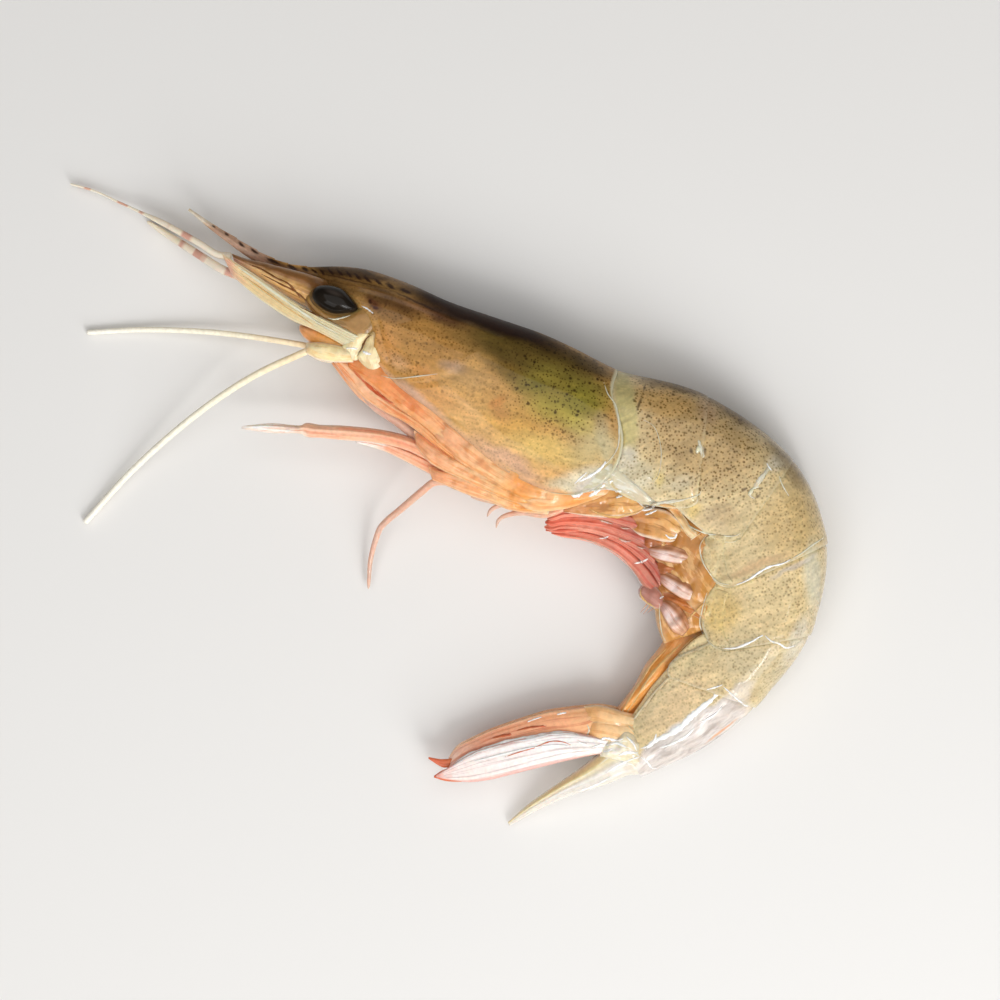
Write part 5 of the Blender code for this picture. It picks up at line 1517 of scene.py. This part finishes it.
add_pair(
    "walking_leg_2", LEG, "leg_shell", "leg_2",
    [(4, 4.7), (-1, 7.6), (-5.1, 9.3), (-9.6, 10.4), (-15.3, 11), (-18.4, 11.1), (-20.3, 11.4), (-21.1, 11),
     (-25.3, 11.3), (-29.4, 10.9)],
    [(3.3, 3), (-2.4, 5.9), (-6, 7.6), (-10.3, 8.6), (-15.3, 9), (-18.1, 9.3), (-20, 9.4), (-20.9, 9.9),
     (-25.3, 10), (-29.4, 10.6)],
    (8.8, 8.9, 8.4, 7.9, 7.4, 6.9, 6.6), (1, 1, 0.9, 0.8, 0.7, 0.5, 0.3), ends=(0.08, 0.1),
    ribs=[(0.3, 0.2, 0.14), (-0.45, 0.14, 0.12)], rough=0.12, shift=(0.2, 0.1))
add_band(
    "walking_leg_2_under", LEG, "leg_shell", None,
    [(3.3, 3.6), (-2.1, 6), (-6.4, 7.9), (-10.1, 8.9), (-13, 9)],
    [(0.4, 2.3), (-2.1, 3.9), (-5.3, 5.6), (-9, 7.4), (-13, 8.6)],
    (8, 8, 7.6, 7.2, 6.9), (0.8, 0.8, 0.7, 0.6, 0.3), ends=(0.1, 0.1), rough=0.1,
    ribs=[(0.5, 0.2, 0.12), (-0.3, 0.15, 0.12)])

# %% [markdown]
# The hind legs are thin rods. Each is its points in the page, heights there and radius.

# %% Thin hind legs
THIN_LEGS = {
    "leg_3_left": ([(7.6, 2.1), (3.3, 2.4), (0.1, 3), (-1.9, 2.9), (-3.3, 1.9), (-6.4, -0.7), (-9.4, -3.3),
                    (-10.3, -5.3), (-11.1, -8.4), (-11.4, -12.4)],
                   (9.2, 9.0, 8.7, 8.4, 7.6, 5.8, 4.0, 3.0, 2.0, 1.2), 0.58),
    "leg_4_left": ([(14.4, 0.9), (11.1, 0.6), (8.7, 0), (7.3, -0.4), (6.3, -1), (5.7, -2)],
                   (9.2, 9.4, 9.4, 9.0, 8.8, 8.6), 0.5),
    "leg_5_left": ([(17, -0.6), (14, -1.7), (11, -1.4), (8.7, -1.7), (7.4, -2.4), (7, -3.6)],
                   (9.4, 9.2, 9.0, 8.8, 8.6, 8.4), 0.48),
    "leg_3_right": ([(11.1, 2), (7.6, 3), (3, 5), (-1.6, 7.9), (-5.3, 10.7), (-7.9, 13)],
                    (3.2, 3.0, 3.0, 3.0, 3.0, 3.0), 0.55),
    "leg_4_right": ([(14.4, 0.6), (10.4, 1), (6.1, 1.9), (1.9, 3), (-1, 3.6)], (3.0, 2.9, 2.8, 2.8, 2.8),
                    0.55),
    "leg_5_right": ([(17, -0.6), (14, -0.6), (9.7, -0.3), (5.4, 0.4), (3.3, 0.9)], (3.0, 2.9, 2.8, 2.8, 2.8),
                    0.5),
}
for node, (page, heights, thick) in THIN_LEGS.items():
    spots = [(x, y, z) for (x, y), z in zip(page, heights)]
    add_thread("walking_" + node, THIN_LEG, node, route(spots),
               lambda t: thick * (1 - 0.6 * t ** 3), columns=16, count=140, tip=1.2)
print("pieces:", len(PIECES))

# %% [markdown]
# The legs start as four rows of orange flesh. Each is its edges, height and half thickness.

# %% Leg bases
LEG_BASES = [
    ([(25, 3.6), (20.4, 3.6), (16.1, 4.1), (12.1, 5.6), (8.4, 7.9), (4.7, 10.1)],
     [(22.7, 0.6), (19.7, -0.1), (16.1, -1), (12.1, -1.1), (8.3, 0.9), (4.7, 3.9)], 10.9, 1.4),
    ([(16.1, 2.7), (11.9, 4.4), (8.3, 6.4), (4.4, 9), (1.1, 11.6), (-1.9, 13.6)],
     [(15, -0.4), (10.7, 0.3), (6.4, 2.6), (2.7, 5), (-0.1, 7.3), (-2.4, 9.3)], 11.2, 1.3),
    ([(15, 0.7), (10.7, 1.9), (6.4, 3.9), (2.1, 6.1), (-1.6, 8.4), (-4.7, 10.4)],
     [(14.4, -1), (9.7, 0), (5.6, 1.7), (1.3, 3.7), (-2.4, 5.7), (-4.4, 8.1)], 10.6, 1.2),
    ([(15, -0.3), (9.7, 0.9), (5.6, 2.6), (1.3, 4.4), (-2.7, 5.3)],
     [(14.4, -1.7), (9.3, -1.1), (6.1, 0.1), (2.6, 1.3), (-2.1, 3.3)], 9.8, 1.1),
]
for number, (upper, lower, height, bulge) in enumerate(LEG_BASES):
    add_pair(f"leg_base_{number + 1}", LEG_BASE, "leg_shell", None, upper, lower,
             (height, height + 0.2, height, height - 0.2, height - 0.6), bulge,
             ends=(0.15, 0.2), rough=0.4,
             ribs=[(0.5, 0.3, 0.16), (0.0, 0.25, 0.14), (-0.5, 0.25, 0.14)])
print("pieces:", len(PIECES))

# %% [markdown]
# ## Hinges and painted glints
#
# Each pair of plates turns on a small white knob in each flank. Where water stands in beads along the rims,
# its glints are painted as white films, and in the photograph those beads are the brightest lines on the
# animal. Both are laid on the shell that is already there, by looking straight down for its height.

# %% Find the height of what is there
GROUND = [BVHTree.FromPolygons([point.co for point in piece.data.vertices],
                               [face.vertices for face in piece.data.polygons])
          for piece in PIECES if not piece.name.endswith("_right")]


LOOK_FROM, NOTHING_THERE = 50 * MM, 4 * MM    # heights of the look down, and where it misses


def shell_height(x, y):
    """Height of the highest piece at a page place, in millimetres."""
    start, down = Vector((x * MM, y * MM, LOOK_FROM)), Vector((0.0, 0.0, -1.0))
    hits = [tree.ray_cast(start, down)[0] for tree in GROUND]
    return max([hit.z for hit in hits if hit] or [NOTHING_THERE]) / MM


def add_film(name, finish, slot, upper, lower, thick, rows=60, columns=12, sink=0.12, drop=9.0):
    """A thin domed film between two page edges, draped on the shell.

    It hangs no more than drop below the highest place that each of its rows crosses.
    """
    t = np.linspace(0.0, 1.0, rows)
    a, b = route(upper)(t), route(lower)(t)
    x = np.linspace(1.0, -1.0, columns)
    page = (a + b)[:, None] / 2 + (a - b)[:, None] / 2 * x[None, :, None]
    ground = np.array([shell_height(px, py) for px, py in page.reshape(-1, 2)]).reshape(rows, columns)
    for axis in (0, 1):
        ground = (ground + np.roll(ground, 1, axis) + np.roll(ground, -1, axis)) / 3
    ground = np.maximum(ground, ground.max(axis=1, keepdims=True) - drop)
    dome = np.sqrt(np.clip(1 - x * x, 0.0, 1.0))[None] * end_swell(t, (0.15, 0.15))[:, None]
    top = np.concatenate([page, (ground - sink + (thick + sink) * dome)[..., None]], -1)
    under = np.concatenate([page, (ground - sink - 0.1)[..., None]], -1)[:, ::-1]
    width = np.tile(np.r_[x, x[::-1]], rows)
    mesh = skin(name, [np.concatenate([top, under], 1)], share=[np.repeat(t, 2 * columns)],
                across=[width], run=[np.repeat(t * 10, 2 * columns)])
    return add_piece(name, mesh, finish)


# %% Hinge knobs
HINGE_KNOBS = [(35.6, 7.6, 75), (43.1, 1.6, 60)]    # page place and turn of the two in sight
for number, (x, y, turn) in enumerate(HINGE_KNOBS):
    add_ball(f"hinge_knob_{number + 1}", EDGE, None,
             (x, y, shell_height(x, y)), (0.6, 0.3, 0.25), math.radians(turn), rows=20, columns=24)

# %% [markdown]
# Each fine line is a narrow film with real thickness, which catches light as a bead of water does; the white
# ones are painted glints. Each is its finish, its width and its points in the page, under the slot it lies
# on.

# %% Painted glint lines, plate edges and seams
rng = np.random.default_rng(14)


def streak(points, width):
    """Two edges round a line through points, of uneven width and thin at both ends."""
    t = np.linspace(0.0, 1.0, 4 * len(points) + 1)
    page = route(points)(t)
    step = unit(np.gradient(page, axis=0))
    uneven = 1 + 0.3 * rng.uniform(-1.0, 1.0, t.size)
    half = width / 2 * (0.2 + 0.8 * np.sqrt(np.sin(np.pi * t) + 1e-6)) * uneven
    side = np.stack([-step[:, 1], step[:, 0]], -1) * half[:, None]
    return page + side, page - side


LINES = {
    "carapace_shell": [
        (EDGE, 0.26, [(22.3, 17.1), (22.9, 15.4), (23.9, 14), (24.3, 11.9), (24.4, 9), (24.1, 7.6),
                      (23.1, 6.1), (21.9, 5)]),
        (GLINT_FILM, 0.55, [(22.6, 6), (21.9, 5), (20.6, 4), (18.7, 3)]),
        (GLINT_FILM, 0.3, [(19.9, 4.4), (19, 3.6), (18.1, 2.7)]),
        (GLINT_FILM, 0.3, [(-12.1, 28), (-11.3, 27.6), (-10.4, 26.9)]),
        (EDGE, 0.2, [(-9.3, 18.1), (-7.4, 17.7), (-3.9, 18), (-1, 18.3)]),
        (SEAM, 0.26, [(-10.6, 23.9), (-11.4, 23.4), (-11.9, 22.6), (-12.1, 21.9), (-12.6, 21.3)]),
        (GLINT_FILM, 0.5, [(-12, 21.6), (-11.4, 21.3), (-10.7, 21.1)]),
        (GLINT_FILM, 0.32, [(-14.4, 22), (-13.6, 22), (-12.6, 21.9)]),
        (EDGE, 0.3, [(-17, 26.3), (-16, 26.1), (-15, 26.3), (-13.6, 26.7)]),
    ],
    "segment_shell": [
        (EDGE, 0.14, [(27.6, 11.9), (29.3, 10.9), (30.1, 9), (30.4, 6.9), (30, 4), (29, 2.6)]),
        (EDGE, 0.28, [(24, 3.3), (26.1, 2.9), (28.3, 1.1), (29.7, 0.1), (31.9, 0.1), (34, 0.6), (35.9, 1.3),
                      (36.1, 2.1)]),
        (EDGE, 0.28, [(32.6, -0.3), (33.3, -2.1), (34.7, -3.4), (36.9, -4.3), (39.7, -4.7), (41.1, -4.6),
                      (41.9, -4.1)]),
        (EDGE, 0.26, [(36.9, -4.6), (36, -6), (36.3, -8.1), (37.3, -9.9), (38.7, -11.3), (40.4, -11.7)]),
        (GLINT_FILM, 0.38, [(40.9, -11.7), (42.6, -11), (44.7, -9.6), (45.9, -9), (47.6, -8.6), (49, -7.9)]),
        (EDGE, 0.26, [(49, -7.9), (50.4, -7.1), (51.9, -6), (53.6, -5)]),
        (MILKY, 0.9, [(45.9, 5.3), (45, 4.1), (44.1, 2.9), (43.4, 1.9)]),
        (EDGE, 0.45, [(44.3, 2.3), (43.3, 2), (43, 1.1), (43.7, 0.6)]),
        (MILKY, 0.8, [(35.7, 9), (36, 7.7), (36.4, 6.4)]),
        (GLINT_FILM, 0.3, [(45.4, 5.7), (45.7, 5.1), (46.1, 4.6)]),
        (EDGE, 0.24, [(47.1, 4), (47.6, 2.6), (48.6, 0.9)]),
        (EDGE, 0.26, [(37.1, -12.4), (36.3, -15.3), (36.1, -17.4), (37, -19.3), (37.9, -20.3),
                      (39.3, -20.7)]),
        (GLINT_FILM, 0.42, [(39.3, -20.7), (41.1, -20.6), (43.3, -19.7), (44.3, -19.1), (45.1, -18.7)]),
        (GLINT_FILM, 0.36, [(45.1, -18.7), (46.1, -19.6), (47.3, -20), (48.3, -20.6), (49.7, -20.3)]),
        (GLINT_FILM, 0.3, [(37, -26.6), (38.1, -26.3), (39.3, -25.9)]),
        (GLINT_FILM, 0.36, [(39.3, -26.1), (40, -26.7), (41.1, -27.7), (42.6, -28.9), (43.3, -29.1)]),
        (GLINT_FILM, 1.1, [(28.3, -35.3), (29.7, -34), (31.6, -33.1), (33.3, -32), (34.7, -30.6), (36.4, -29.1),
                      (37.9, -27.9), (38.7, -26.9)]),
        (GLINT_FILM, 0.4, [(27.6, -35.1), (28.7, -34.7), (29.6, -33.9), (29.9, -32.9)]),
        (GLINT_FILM, 0.5, [(30.4, -35), (32.1, -34.4), (34, -33.4), (35.4, -32)]),
        (GLINT_FILM, 0.35, [(27.7, -36.3), (28.6, -37), (29.3, -37.9), (30.1, -38.1)]),
        (GLINT_FILM, 0.4, [(36.1, -31.3), (37.9, -30.4), (39.3, -29)]),
        (MILKY, 0.6, [(28.1, 0.9), (29, 0), (30.4, 0), (32.1, 0.3), (33.9, 0.4)]),
        (GLINT_FILM, 0.5, [(27.7, -1), (28.7, -0.9), (29.6, -0.3)]),
        (GLINT_FILM, 0.4, [(28.1, -1.7), (29, -1.4), (29.9, -1)]),
        (STRAND, 0.35, [(37, -13.9), (35.7, -15.1), (34.4, -16.6)]),
        (STRAND, 0.4, [(36.7, -18.4), (35.3, -19.3), (33.9, -20.6), (32.9, -21.7)]),
        (EDGE, 0.18, [(32.9, -1), (33, -2.3), (33.4, -3.4), (34.1, -4.1)]),
    ],
    "pleopod_skin": [
        (STRAND, 0.37, [(31.6, -20.6), (29.3, -23), (27.6, -25.6), (26.1, -28), (25, -29.9)]),
        (STRAND, 0.45, [(33.9, -19.7), (31.6, -21.9), (29.3, -24.4), (27.4, -27.3), (25.7, -30.1)]),
        (GLINT_FILM, 0.55, [(17.7, 1.1), (18.4, 1), (19.4, 1.6)]),
        (GLINT_FILM, 0.6, [(20.1, 0.9), (21, 1.4), (21.9, 2)]),
        (GLINT_FILM, 0.5, [(21.6, 2.1), (22.7, 2.7), (23.7, 3.3)]),
        (GLINT_FILM, 0.45, [(23.9, 1.6), (24.3, 1.7), (24.9, 1.6)]),
        (GLINT_FILM, 0.4, [(25.6, 1.4), (25.9, 1.6), (26.3, 1.7)]),
        (GLINT_FILM, 0.4, [(24, 0.7), (24.4, 0.9), (25, 1)]),
        (STRAND, 0.4, [(20.1, -0.7), (21.9, -1.6), (23.9, -2), (26.1, -1.6), (27.9, -1)]),
        (GLINT_FILM, 0.4, [(31, -4.4), (31.6, -4.9), (32.4, -4.9), (32.7, -4.3)]),
        # painted highlights: soft pink glints on the blades
        (SWIM_WHITE, 0.4, [(21.7, -2.4), (22.7, -2.7), (23.7, -3)]),
        (SWIM_WHITE, 0.4, [(24.4, -5), (25.3, -5.4), (26.3, -5.4)]),
        (SWIM_WHITE, 0.3, [(27, -6.1), (27.7, -6.4), (28.3, -6.4)]),
        (GLINT_FILM, 0.35, [(30.3, -13.6), (30.6, -13.4), (30.9, -13.3)]),
        (STRAND, 0.3, [(27.7, -12.1), (27.6, -13), (28.3, -14), (29.3, -14.7), (30.3, -15.6)]),
        (SWIM_WHITE, 0.18, [(17, -4.6), (19, -5), (21.6, -5.9), (24.6, -7.6), (26.6, -9.7), (27.9, -11.6),
                            (29.3, -12.7)]),
        (GLINT_FILM, 0.3, [(21.7, -5), (22.4, -5), (23.1, -4.7)]),
        (GLINT_FILM, 0.36, [(26.7, -8.6), (27.7, -8.4), (28.7, -7.9)]),
        # painted highlight: a soft pink glint on a blade
        (SWIM_WHITE, 0.3, [(24.6, -3.4), (25.3, -3.6), (26.1, -3.6)]),
        (EDGE, 0.2, [(30.3, -14.1), (30.3, -16), (30.7, -18.7), (31.3, -19.9)]),
    ],
    "uropod_leaf": [
        (RED_LINE, 0.5, [(6.4, -33.7), (7.7, -33.4), (9.3, -33.1)]),
        (RED_LINE, 0.4, [(10, -32.6), (12.1, -32.1), (14.4, -31.9)]),
        (GLINT_FILM, 0.3, [(11.4, -31.4), (12.4, -31), (13.6, -30.6)]),
        (GLINT_FILM, 0.36, [(15.7, -30.3), (16.4, -30.1), (17.1, -30)]),
        (GLINT_FILM, 0.65, [(0.4, -37.9), (3.3, -36), (6.1, -35), (9, -34.1), (11.9, -33.6), (14.7, -33),
                       (17.6, -32.9), (19.7, -33.6)]),
        (GLINT_FILM, 0.4, [(3.3, -37.1), (7.6, -36), (11.9, -35), (16.1, -34.6), (18.3, -35)]),
        (RED_LINE, 0.24, [(8.3, -36.3), (10.4, -35.6), (12.6, -34.9), (14.7, -34.1), (16.4, -34.1),
                          (18, -34.7)]),
        (GLINT_FILM, 0.4, [(18.6, -34), (19.3, -34.3), (20, -34.4)]),
        (GLINT_FILM, 0.36, [(20.6, -34.9), (21.4, -34.7), (22.3, -34.4)]),
        (GLINT_FILM, 0.36, [(22.3, -35.6), (23, -35.4), (23.7, -35.1)]),
        (GLINT_FILM, 0.5, [(21.4, -34), (22.7, -33.6), (24.1, -33.9), (25.3, -33.6)]),
        (GLINT_FILM, 0.45, [(22.7, -34.7), (24.1, -34.3), (25.7, -34.9)]),
        (GLINT_FILM, 0.4, [(25.6, -33.3), (26.6, -34.3), (27.1, -35.4)]),
        (EDGE, 0.3, [(20, -31.6), (20.3, -32.4), (20, -33.3)]),
    ],
    "telson_shell": [
        (GLINT_FILM, 0.45, [(27.6, -36.3), (26.4, -36.6), (24.4, -37.6), (22.6, -38.7)]),
        (GLINT_FILM, 0.5, [(24.4, -36.1), (25.7, -35.6), (27.3, -35.7)]),
        (GLINT_FILM, 0.4, [(23.6, -39.1), (21.3, -40.4), (19, -41.3)]),
    ],
    "antennal_scale": [
        (EDGE, 0.5, [(-30.1, 33.9), (-26.4, 31.3), (-22.4, 28.4), (-18.4, 25.7), (-15.3, 23.9)]),
        (STRAND, 0.3, [(-29, 32.3), (-25.6, 29.9), (-22.1, 27.4), (-18.7, 25.1)]),
    ],
    "antennule_stem": [
        (SEAM, 0.36, [(-28.1, 34), (-26.4, 33.3), (-24.4, 32.1), (-22.4, 31.1), (-20.7, 29)]),
        (SEAM, 0.28, [(-26.4, 32.6), (-23.9, 31.3), (-21, 29.7), (-18.4, 26.9)]),
        (SEAM, 0.2, [(-21, 27.9), (-19.3, 27.1), (-17.9, 26.4)]),
    ],
    "leg_shell": [
        (RED_LINE, 0.5, [(-13.6, 19.3), (-11.9, 17.4), (-10, 15.6), (-7.3, 14)]),
    ],
}
for slot, lines in LINES.items():
    for number, (finish, width, points) in enumerate(lines):
        add_film(f"{slot}_line_{number + 1}", finish, slot, *streak(points, width), thick=0.1,
                 rows=12 * len(points), columns=7, drop=0.4)
print("lines:", sum(len(lines) for lines in LINES.values()))

# %% [markdown]
# The plates' free edges and the skin in front of the belly are the same films, only broader.

# %% Plate margins and skins
MARGINS = [
    ([(38, -4.3), (36.7, -5.1), (36.3, -6.6), (36.4, -8.3), (37.3, -9.9), (38.9, -11.4)],
     [(40.1, -4.6), (39.6, -6), (39.6, -7.4), (39.7, -8.9), (40.1, -10), (40.9, -11.4)]),
    ([(38.1, -11.9), (37, -13.1), (36.4, -15), (36.3, -17.3), (36.9, -19.1), (38.3, -20.6)],
     [(40.4, -12.7), (39.9, -14.1), (39.6, -15.6), (39.6, -17.4), (39.9, -19), (40.7, -20.4)]),
    ([(37, -18.4), (35.3, -19.4), (33.7, -20.9), (32.3, -22.4), (31.3, -23.9)],
     [(39.3, -21), (37.6, -21.9), (36, -22.9), (34.4, -24.1), (33.3, -25.6)]),
    ([(32.4, -22.4), (30.6, -24.6), (29.1, -26.4), (27.9, -28.3), (26.7, -30.1), (25.9, -31.9)],
     [(34.4, -24.1), (32.4, -26.7), (30.7, -28.7), (29.3, -30.7), (28.1, -32.4), (27.3, -33.6)]),
]
MARGIN_THICK, MARGIN_DROP = (0.3, 0.3, 0.04, 0.04), (9.0, 9.0, 0.7, 0.7)
for number, (outer, inner) in enumerate(MARGINS):
    add_film(f"plate_margin_{number + 3}", SEGMENT, "segment_shell", outer, inner,
             thick=MARGIN_THICK[number], drop=MARGIN_DROP[number])
add_film(
    "front_membrane", TAIL_STEM, "pleopod_skin",
    [(34.7, -5.3), (33.7, -4.1), (32.7, -2.4), (31.6, -1), (29.9, -0.3)],
    [(36.1, -4.3), (34.9, -3.6), (33.9, -2.1), (32.7, -0.6), (30.7, 0.1)],
    thick=0.2)
add_film(
    "flank_skin", MILKY, "belly_flesh",
    [(23.4, 6.4), (25, 4.7), (26.7, 3.1), (28.4, 1.6), (29.9, 0)],
    [(18.1, 1.1), (20.4, 1.6), (22.7, 1.9), (25.6, 1.1), (28.1, -0.7)],
    thick=0.12)
print("pieces:", len(PIECES))

# %% [markdown]
# ## Floor, light and camera
#
# The floor is a plain pale surface. A broad softbox low on the tail's side lays the long wet
# highlights along the tail, as in the photograph, and a weak overhead one fills the shade. The
# camera looks straight down from far enough away that the head isn't drawn larger than it is.

# %% Floor
FLOOR_HALF = 2.0        # metres from the middle to a side


def make_floor():
    """A matt pale square that only this picture needs."""
    finish, _, shader = new_finish("pale_floor")
    shader.inputs["Base Color"].default_value = tint("#e4e2df")
    shader.inputs["Roughness"].default_value = 0.7
    mesh = bpy.data.meshes.new("floor")
    corners = [(x * FLOOR_HALF, y * FLOOR_HALF, 0) for x, y in ((-1, -1), (1, -1), (1, 1), (-1, 1))]
    mesh.from_pydata(corners, [], [(0, 1, 2, 3)])
    mesh.materials.append(finish)
    floor = bpy.data.objects.new("floor", mesh)
    bpy.context.scene.collection.objects.link(floor)


make_floor()

# %% Lights
AIM = Vector((0.008, 0.0, 0.008))        # the middle of the animal, in metres
# azimuth and elevation in degrees, distance and size in metres, power in watts
LIGHTS = {
    "window": (-60, 38, 0.6, (0.30, 0.45), 2.2),
    "strip": (-66, 46, 0.6, (0.04, 0.30), 0.5),
    "fill": (-125, 45, 0.7, (0.4, 0.4), 0.9),
    "ceiling": (0, 90, 0.9, (1.2, 1.2), 5.2),
}
SKY_SHARE = 0.1                          # the even light from all round


def softbox(name, azimuth, elevation, distance, size, power):
    """A white area light aimed at the animal. Azimuth 0 is +X and 90 is +Y."""
    light = bpy.data.lights.new(name, "AREA")
    light.shape = "RECTANGLE"
    light.size, light.size_y = size
    light.energy = power
    lamp = bpy.data.objects.new(name, light)
    a, e = math.radians(azimuth), math.radians(elevation)
    away = Vector((math.cos(a) * math.cos(e), math.sin(a) * math.cos(e), math.sin(e)))
    lamp.location = AIM + away * distance
    lamp.rotation_euler = away.to_track_quat("Z", "Y").to_euler()
    bpy.context.scene.collection.objects.link(lamp)


for name, settings in LIGHTS.items():
    softbox(name, *settings)
world = bpy.data.worlds.new("studio")
world.use_nodes = True
sky = world.node_tree.nodes["Background"]
sky.inputs["Color"].default_value = (1.0, 1.0, 1.0, 1.0)
sky.inputs["Strength"].default_value = SKY_SHARE
bpy.context.scene.world = world
print("lights:", len(LIGHTS))

# %% Camera
PAGE_CENTRE = (7.57, 0.43)       # the middle of the picture, in the page
PAGE_WIDTH = 142.86              # the width of the picture at the animal's midplane
CAMERA_HEIGHT = 700.0
MIDPLANE = 7.5
SENSOR = 36.0

lens = bpy.data.cameras.new("camera")
lens.sensor_width = SENSOR
lens.lens = SENSOR * (CAMERA_HEIGHT - MIDPLANE) / PAGE_WIDTH
lens.clip_start, lens.clip_end = 0.05, 10.0
camera = bpy.data.objects.new("camera", lens)
camera.location = Vector((*PAGE_CENTRE, CAMERA_HEIGHT)) * MM
bpy.context.scene.collection.objects.link(camera)
bpy.context.scene.camera = camera
bpy.context.scene.view_settings.view_transform = "Standard"
print("camera height mm:", CAMERA_HEIGHT, "lens mm:", round(lens.lens, 1))
